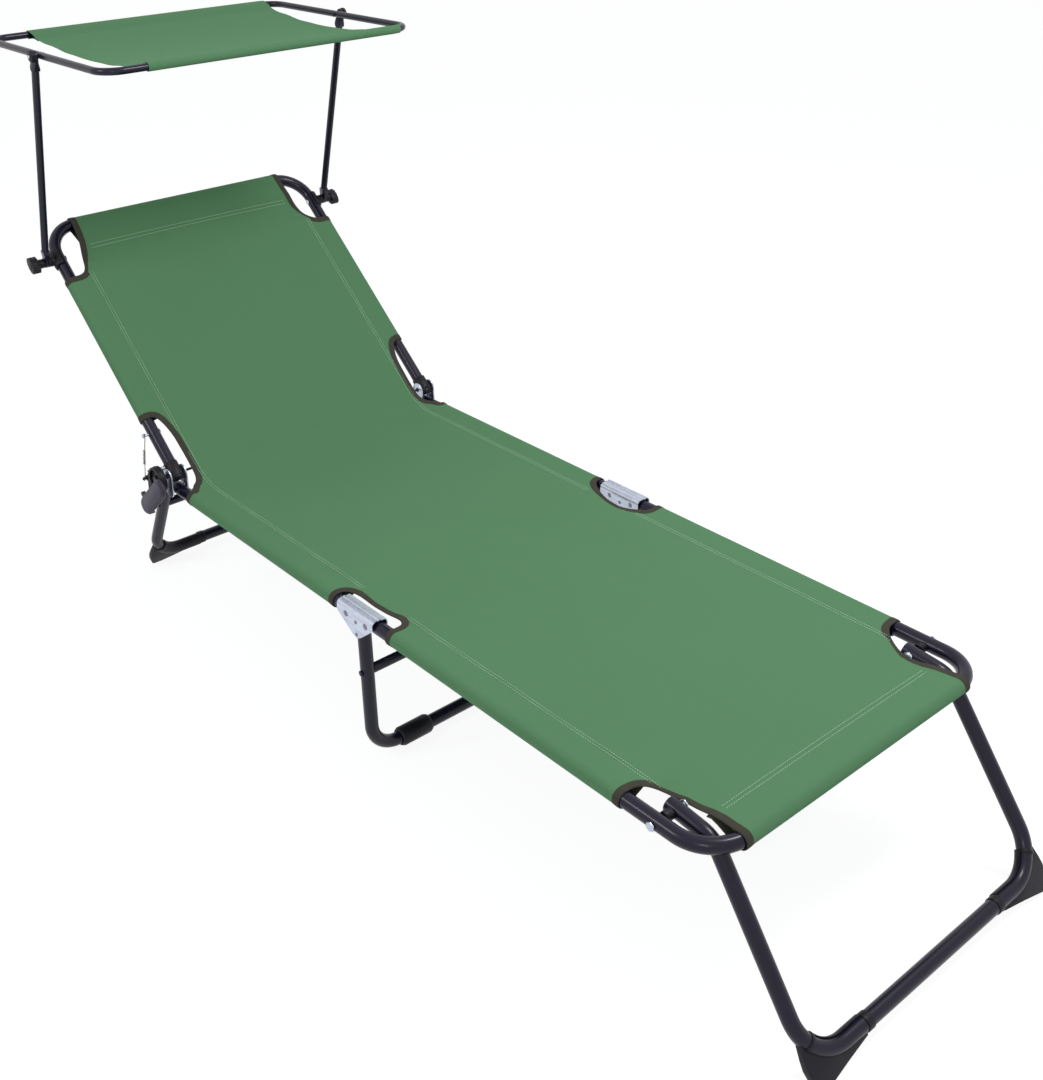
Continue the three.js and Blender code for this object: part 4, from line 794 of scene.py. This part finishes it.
# the cloth's right half as rows of (point, outer normal, place in metres of cloth), None off the cloth
def clothGrid():
    radius = tube["radius"] + cloth["rideOff"]
    out, ring, back = loopRound(cloth["sideStitch"], cloth["level"], radius, cloth["flap"])
    stitchX, innerColumns, outerColumns = sideX - cloth["sideStitch"], cloth["columns"], len(out) + 1
    tangentX, tangentN = sideX - ring[0][0], ring[0][1]
    grid = []
    for row in clothRows():
        v, width = row["v"], row["width"] or tangentX
        angle = baseAt(v)[1]
        along, upward = alongAt(angle), outAt(angle)
        normal = along * row["normal"][0] + upward * row["normal"][1]
        inner = min(stitchX, width - cloth["outerRun"])
        xs = [inner * i / innerColumns for i in range(innerColumns + 1)]
        xs += [inner + (width - inner) * i / outerColumns for i in range(1, outerColumns + 1)]
        line = []
        for x in xs:
            mark = v
            if row["n"] is None:
                rise = max(0.0, (x - stitchX) / (tangentX - stitchX))
                depth = webLevel(x, v) + rise * (tangentN - cloth["level"]) * pullAt(v)
                if abs(x - sideX) < radius:  # it lies over the tube
                    depth = max(depth, math.sqrt(radius ** 2 - (x - sideX) ** 2))
            else:
                depth = row["n"] + row["share"] * (webLevel(x, v) - cloth["level"])
                mark = v + cloth["hemMark"]
            line.append((clothPoint(x, v, depth), normal, (x, mark)))
        for i, (d, n, nd, nn, share) in enumerate(ring[1:] + back):
            facing = upward * nn - Vector((nd, 0, 0))
            depth = n + share * (webLevel(sideX - d, v) - cloth["level"])
            mark = (width + cloth["step"] * (i + 1), v)
            line.append((clothPoint(sideX - d, v, depth), facing, mark) if row["wraps"] else None)
        grid.append(line)
    return grid


def clothPiece(name, grid, first, last):
    points, marks, index = [], [], {}
    columns = len(grid[0])

    def spot(i, j, sign):
        if grid[i][j] is None:
            return None
        key = (i, j, sign if j else 1)
        if key not in index:
            p, normal, (a, b) = grid[i][j]
            index[key] = len(points)
            points.append((sign * p.x, p.y, p.z))
            marks.append((sign * a, b))
        return index[key]

    faces = []
    for i in range(first, last):
        for j in range(columns - 1):
            for sign in (1, -1):
                four = [spot(*place, sign) for place in ((i, j), (i, j + 1), (i + 1, j + 1), (i + 1, j))]
                if None not in four:
                    faces.append(four if sign > 0 else four[::-1])
    piece = makeMesh(name, points, faces, slingCloth, marks)
    addWall(piece, cloth["thickness"], 0)
    return smooth(piece, 50)


# edge tape, folded over the cut edge: how far its fold stands out, and its flat part and width
tape = dict(width=0.0105, half=0.0012, fold=-0.0010, shoulder=-0.0004, flat=(0.0008, 0.0055), step=0.0025)


# edge is a list of (point, outer normal), with the cloth on the side of normal x heading, or the
# other side where sign is -1
def tapeAlong(name, edge, sign):
    points, marks = [], []
    length = 0.0
    near, far = tape["flat"]
    upper = [(tape["shoulder"], 0.7), (near, 1.0), (far, 1.0), (tape["width"], 0.75)]
    ring = [(tape["fold"], 0.0)] + upper + [(d, -h) for d, h in reversed(upper)]
    for i, (p, normal) in enumerate(edge):
        ahead, behind = edge[min(i + 1, len(edge) - 1)][0], edge[max(i - 1, 0)][0]
        heading = (ahead - behind).normalized()
        inward = normal.cross(heading).normalized() * sign
        out = (normal - heading * normal.dot(heading)).normalized()
        length += (p - edge[i - 1][0]).length if i else 0.0
        for k, (d, h) in enumerate(ring):
            points.append(p + inward * d + out * h * tape["half"])
            marks.append((k * tape["step"], length))
    piece = makeMesh(name, points, ringFaces(len(edge), len(ring)), edgeTape, marks)
    outward(piece)
    return smooth(piece, 50)


# the edge of one cut-out on the side given by sign, from the foot end up
def edgeOf(grid, first, last, sign):
    columns = len(grid[0])
    webEnd = grid[0].index(None) - 1
    spots = []
    if grid[first][-1] is not None:
        spots += [(first, j) for j in range(columns - 1, webEnd, -1)]
    spots += [(i, webEnd) for i in range(first, last + 1)]
    if grid[last][-1] is not None:
        spots += [(last, j) for j in range(webEnd + 1, columns)]
    flip = Vector((sign, 1, 1))
    return [(grid[i][j][0] * flip, grid[i][j][1] * flip) for i, j in spots]


# rows of stitches on the cloth, laid as short rounded bars; a gap is a row's distance from its seam
stitch = dict(length=0.0031, pitch=0.0042, width=0.0009, proud=0.00075, lineStep=0.012,
              sideGaps=(-0.002, 0.003), endGaps=(-0.003, 0.004), footHalf=0.208, headHalf=0.214,
              fromFoot=0.02, pastKnee=0.012, fromKnee=0.01, pastHead=0.008)


def stitches(name, lines):
    points, faces = [], []
    for line in lines:
        walked, target = 0.0, stitch["pitch"] / 2
        for (a, na), (b, nb) in zip(line, line[1:]):
            span = (b - a).length
            while target <= walked + span:
                t = (target - walked) / max(span, 1e-9)
                addStitch(points, faces, a.lerp(b, t), (b - a).normalized(), na.lerp(nb, t).normalized())
                target += stitch["pitch"]
            walked += span
    return smooth(makeMesh(name, points, faces, thread), 60)


def addStitch(points, faces, place, heading, out):
    side = out.cross(heading)
    base = len(points)
    half, w, h = stitch["length"] / 2, stitch["width"] / 2, stitch["proud"]
    for along, size in ((-1.0, 0.35), (-0.6, 1.0), (0.6, 1.0), (1.0, 0.35)):
        for s, u in ((-1, 0.0), (-0.6, 0.8), (0.6, 0.8), (1, 0.0)):
            lift = out * (h * (u * size + 0.1))
            points.append(place + heading * half * along + side * w * s * size + lift)
    for i in range(3):
        for k in range(4):
            a, b = base + i * 4 + k, base + i * 4 + (k + 1) % 4
            faces.append([a, a + 4, b + 4, b])
    faces.append([base + k for k in range(4)])
    faces.append([base + 12 + k for k in (3, 2, 1, 0)])


# a straight row on the cloth's upper face, as (point, outer normal)
def stitchLine(x0, v0, x1, v1):
    count = max(2, int(max(abs(x1 - x0), abs(v1 - v0)) / stitch["lineStep"]))
    line = []
    stitchX = sideX - cloth["sideStitch"]
    rise = tube["radius"] + cloth["rideOff"] - cloth["level"]
    for i in range(count + 1):
        x, v = x0 + (x1 - x0) * i / count, v0 + (v1 - v0) * i / count
        level = webLevel(x, v) + cloth["thickness"] / 2
        if abs(x) > stitchX:
            level += rise * (abs(x) - stitchX) / cloth["sideStitch"] * pullAt(v)
        for edge, reach in ((v, cloth["footStitch"]), (clothEnd - v, cloth["headStitch"])):
            if edge < reach:
                level += rise * (reach - edge) / reach
        line.append((clothPoint(x, v, level), outAt(baseAt(v)[1])))
    return line


def sideStitches(low, high):
    lines = []
    for sign in (-1, 1):
        for gap in stitch["sideGaps"]:
            x = sign * (sideX - cloth["sideStitch"] + gap)
            lines.append(stitchLine(x, low, x, high))
    return lines


def endStitches(v, halfWidth):
    return [stitchLine(-halfWidth, v + gap, halfWidth, v + gap) for gap in stitch["endGaps"]]


# the sling cloth in three sheets, with its tapes and stitches
def placeCloth():
    grid, rows = clothGrid(), clothRows()

    def at(v):
        return min(range(len(rows)), key=lambda i: abs(rows[i]["v"] - v) + (rows[i]["n"] is not None))

    seatSplit = at((creaseStart + kneeY - barY) / 2)
    kneeRow = at(kneeY - barY)
    last = len(rows) - 1
    parts = dict(
        foot=(0, kneeRow, "foot_section", "mid_leg", ["foot_sling"]),
        seat=(kneeRow, seatSplit, "mid_leg", "seat", ["seat_sling"]),
        back=(seatSplit, last, "seat", "backrest", ["backrest_sling"]),
    )
    knee = hinge["knee_foot_hinge"], hinge["knee_seat_hinge"]
    half = abs(knee[1].y - knee[0].y) / 2
    bends = dict(
        foot=(Vector((0, knee[0].y - half, frameZ)), Vector((0, knee[0].y + half, frameZ))),
        seat=(Vector((0, knee[1].y - half, frameZ)), Vector((0, knee[1].y + half, frameZ))),
        back=(clothPoint(0, cutOuts["hip"][0][0], 0), clothPoint(0, cutOuts["hip"][-1][0], 0)),
    )
    ends = {name: (at(edge[0][0]), at(edge[-1][0])) for name, edge in cutOuts.items()}
    ends["foot"] = (0, ends["foot"][1])
    ends["head"] = (ends["head"][0], last)
    tapes = dict(
        foot=[("foot_corner", *ends["foot"]), ("knee_foot", ends["knee"][0], kneeRow)],
        seat=[("knee_seat", kneeRow, ends["knee"][1])],
        back=[("hip", *ends["hip"]), ("head_corner", *ends["head"])],
    )
    footCut, kneeCut, headCut = (cutOuts[k] for k in ("foot", "knee", "head"))
    split = rows[seatSplit]["v"]
    sews = dict(
        foot=sideStitches(footCut[-1][0] - stitch["fromFoot"], kneeCut[0][0] + stitch["pastKnee"])
        + endStitches(cloth["footStitch"], stitch["footHalf"]),
        seat=sideStitches(kneeCut[-1][0] - stitch["fromKnee"], split),
        back=sideStitches(split, headCut[0][0] + stitch["pastHead"])
        + endStitches(clothEnd - cloth["headStitch"], stitch["headHalf"]),
    )
    for name, (first, final, bodyA, bodyB, nodes) in parts.items():
        piece = clothPiece(name + "_cloth", grid, first, final)
        extras = [stitches(name + "_stitches", sews[name])]
        for label, start, stop in tapes[name]:
            for side, sign in sides:
                extras.append(tapeAlong(f"{label}_tape_{side}", edgeOf(grid, start, stop, sign), sign))
        for each in [piece] + extras:
            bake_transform(each)
        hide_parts(*nodes)
        middle = [line[0][0] for line in grid[first:final + 1]]
        run = sum((b - a).length for a, b in zip(middle, middle[1:]))


placeCloth()
print("sling cloth made")

# canopy
canopyRail = dict(radius=0.006, bend=0.036, seam=0.0005, rivetSink=0.0004, innerRivet=(0.0032, 0.0013),
                  outerRivet=(0.0030, 0.0012))
shadeCloth = dict(radius=0.0070, reach=0.030, level=0.001, thickness=0.0008, sag=0.021, inset=0.007,
                  shift=0.025, half=0.247, flap=0.006, columns=40, rows=26, hemStep=0.004,
                  edgeShare=0.08, puckers=34, pucker=0.0016)


def placeCanopyFrame():
    low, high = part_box("canopy_frame")
    r = canopyRail["radius"]
    z = (low.z + high.z) / 2
    x, front, back = high.x - r, low.y + r, high.y - r
    corners = [(0.0, front, z), (x, front, z), (x, back, z), (-x, back, z), (-x, front, z),
               (-canopyRail["seam"], front, z)]
    bentTube("canopy_rail", corners, [canopyRail["bend"]] * 4, r, "canopy", "canopy_frame")
    pivot = hinge["canopy_tilt"]
    for side, sign in sides:
        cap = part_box("canopy_pivot_cap_" + side)
        innerX = sign * (x - r + canopyRail["rivetSink"])
        outerX = cap[1].x if sign > 0 else cap[0].x
        heads = ([], [])
        for headX, way, size in ((innerX, -sign, "innerRivet"), (outerX, sign, "outerRivet")):
            addDome(*heads, Vector((headX, *pivot.yz)), Vector((way, 0, 0)), *canopyRail[size])
        rivets = smooth(outward(makeMesh("pivot_rivets_" + side, *heads, zinc)), 40)
        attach(rivets, "canopy")
    return front, back, z, x


# the free edges bow inwards between the rails
def canopyEdge(y, front, back):
    t = (y - front) / (back - front)
    bow = shadeCloth["inset"] * (1 - (2 * t - 1) ** 2) if 0 < t < 1 else 0.0
    shift, half = shadeCloth["shift"], shadeCloth["half"]
    return shift - half + bow, shift + half - bow


def placeCanopy():
    front, back, z, railX = placeCanopyFrame()
    reach, level, hemStep, columns = (shadeCloth[k] for k in ("reach", "level", "hemStep", "columns"))
    bend = canopyRail["bend"]
    out, ring, fold = loopRound(reach, level, shadeCloth["radius"], shadeCloth["flap"], 12)
    pitch = (back - front - 2 * reach) / shadeCloth["rows"]
    around = [(d, n, share) for d, n, nd, nn, share in out + ring + fold]
    # lines across the sheet: place, depth, how far it follows the web, and the cloth since the last
    lines = [(front + d, n, share, hemStep) for d, n, share in reversed(around)]
    lines += [(front + reach + pitch * i, level, 1, pitch) for i in range(shadeCloth["rows"] + 1)]
    lines += [(back - d, n, share, hemStep) for d, n, share in around]
    points, marks, faces = [], [], []
    run = 0.0
    for y, n, share, step in lines:
        left, right = canopyEdge(y, front, back)
        run += step
        for i in range(columns + 1):
            x = left + (right - left) * i / columns
            t, u = (y - front) / (back - front), i / columns
            hang = max(0.0, 1 - (2 * t - 1) ** 2) * (0.9 + 0.1 * math.sin(math.pi * u))
            pull = math.exp(-(min(u, 1 - u) / shadeCloth["edgeShare"]) ** 2)
            lift = shadeCloth["pucker"] * pull * math.sin(t * shadeCloth["puckers"]) * abs(2 * t - 1)
            depth = n + share * (lift - shadeCloth["sag"] * hang)
            bent = max(0.0, abs(x) - railX + bend)  # the sleeve goes a little way round the corner
            turn = bend - math.sqrt(bend ** 2 - bent ** 2)
            points.append((x, y + turn * max(-1.0, min(1.0, 1 - 2 * t)), z + depth))
            marks.append((x, run))
    for k in range(len(lines) - 1):
        for i in range(columns):
            a = k * (columns + 1) + i
            faces.append([a, a + 1, a + columns + 2, a + columns + 1])
    piece = makeMesh("canopy_sheet", points, faces, canopyWeave, marks)
    addWall(piece, shadeCloth["thickness"], 0)
    smooth(piece, 50)
    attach(piece, "canopy")
    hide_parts("canopy_cloth")
    # the cloth's flat length from rail to rail, with 80 mm round each rail
    back - front + 0.16


placeCanopy()
print("canopy made")

# finishes of the carried-over nodes
finishes = dict(tube=coat, zinc=zinc, plastic=blackPlastic, housing=shellPlastic, spring=springWire,
                cloth=slingCloth)
slotOf = {s["node"]: s["material_slot"] for s in frame["record"]["subparts"]}


def dressNodes():
    for name, piece in frame["nodes"].items():
        piece.data.materials.clear()
        # the knee rivets take the darker zinc, painted shade
        piece.data.materials.append(rivetPaintedShade if "knee_rivet" in name else finishes[slotOf[name]])
        if piece.hide_render:
            continue
        # the solids' loose triangles are joined, flat faces made whole and sharp edges rounded
        weld = piece.modifiers.new("weld", "WELD")
        weld.merge_threshold = 0.00002
        if "spring" not in name or "pin" in name:
            flat = piece.modifiers.new("flat", "DECIMATE")
            flat.decimate_type = "DISSOLVE"
            flat.angle_limit = math.radians(1)
            addRim(piece, 35, 0.0005, 2).harden_normals = True
        for face in piece.data.polygons:
            face.use_smooth = True


dressNodes()
print("nodes dressed")

# stage, light and camera
studio = dict(
    floor=60.0, floorDrop=0.0004, floorGlow=1.23, glowShare=0.72, world=0.44,
    paint=(0.86, 0.86, 0.87, 1), sky=(0.93, 0.96, 1.0, 1), lampSize=0.6, aim=(0, 0, 0.3),
    lamps=(("keyLamp", (0.7, -0.9, 2.3), 26.0), ("rimLamp", (-2.2, 0.6, 2.0), 14.0),
           ("frontLamp", (-1.9, -1.9, 1.7), 9.0)))
# the camera fitted to the photograph: place in metres, angles in radians, focal length and optical
# axis in the photograph's pixels
view = dict(place=(-1.2102, -1.5274, 1.3699), yaw=0.6952, pitch=0.4770, roll=-0.0244, focal=1344.5,
            axis=(495.86, 480.57), image=(1043, 1080), sensor=36.0)


# camera rays and mirror rays see the second shader, all others the first
def cameraRayMix(tree, forOthers, forCamera, output):
    path = tree.nodes.new("ShaderNodeLightPath")
    seen = path.outputs["Is Camera Ray"]
    for name in ("Is Glossy Ray", "Is Transmission Ray"):
        either = tree.nodes.new("ShaderNodeMath")
        either.operation = "MAXIMUM"
        tree.links.new(seen, either.inputs[0])
        tree.links.new(path.outputs[name], either.inputs[1])
        seen = either.outputs[0]
    mix = tree.nodes.new("ShaderNodeMixShader")
    tree.links.new(seen, mix.inputs[0])
    tree.links.new(forOthers, mix.inputs[1])
    tree.links.new(forCamera, mix.inputs[2])
    tree.links.new(mix.outputs[0], output)


def addNode(tree, kind, inputs):
    made = tree.nodes.new(kind)
    for name, value in inputs.items():
        made.inputs[name].default_value = value
    return made


def makeStage():
    bpy.ops.mesh.primitive_plane_add(size=studio["floor"], location=(0, 0, -studio["floorDrop"]))
    floor = bpy.context.object
    floor.name = "floor"
    paint = bpy.data.materials.new("paleFloor")
    paint.use_nodes = True
    tree = paint.node_tree
    tree.nodes.clear()
    output = addNode(tree, "ShaderNodeOutputMaterial", {})
    dull = addNode(tree, "ShaderNodeBsdfDiffuse", dict(Color=studio["paint"]))
    glow = addNode(tree, "ShaderNodeEmission", dict(Color=(1, 1, 1, 1), Strength=studio["floorGlow"]))
    blend = addNode(tree, "ShaderNodeMixShader", {0: studio["glowShare"]})
    tree.links.new(dull.outputs[0], blend.inputs[1])
    tree.links.new(glow.outputs[0], blend.inputs[2])
    cameraRayMix(tree, dull.outputs[0], blend.outputs[0], output.inputs["Surface"])
    floor.data.materials.append(paint)


def makeWorld():
    world = bpy.data.worlds.new("paleRoom")
    bpy.context.scene.world = world
    world.use_nodes = True
    tree = world.node_tree
    tree.nodes.clear()
    output = addNode(tree, "ShaderNodeOutputWorld", {})
    soft = addNode(tree, "ShaderNodeBackground", dict(Color=studio["sky"], Strength=studio["world"]))
    white = addNode(tree, "ShaderNodeBackground", dict(Color=(1, 1, 1, 1)))
    cameraRayMix(tree, soft.outputs[0], white.outputs[0], output.inputs["Surface"])


def addLamp(name, place, power):
    bpy.ops.object.light_add(type="AREA", location=place)
    lamp = bpy.context.object
    lamp.name = name
    lamp.data.energy = power
    lamp.data.size = studio["lampSize"]
    lamp.rotation_euler = (Vector(studio["aim"]) - Vector(place)).to_track_quat("-Z", "Y").to_euler()


def makeCamera():
    yaw, pitch, roll = view["yaw"], view["pitch"], view["roll"]
    ahead = Vector((math.sin(yaw) * math.cos(pitch), math.cos(yaw) * math.cos(pitch), -math.sin(pitch)))
    right = Vector((math.cos(yaw), -math.sin(yaw), 0))
    up = right.cross(ahead)
    across = right * math.cos(roll) + up * math.sin(roll)
    upward = up * math.cos(roll) - right * math.sin(roll)
    bpy.ops.object.camera_add()
    camera = bpy.context.object
    camera.name = "photoView"
    turn = Matrix((across, upward, -ahead)).transposed().to_4x4()
    camera.matrix_world = Matrix.Translation(Vector(view["place"])) @ turn
    width, height = view["image"]
    camera.data.sensor_width = view["sensor"]
    camera.data.lens = view["focal"] * view["sensor"] / height
    camera.data.shift_x = (width / 2 - view["axis"][0]) / height
    camera.data.shift_y = -(height / 2 - view["axis"][1]) / height
    bpy.context.scene.camera = camera


makeStage()
makeWorld()
for name, place, power in studio["lamps"]:
    addLamp(name, place, power)
makeCamera()
bpy.context.scene.view_settings.view_transform = "Standard"
print("stage made")
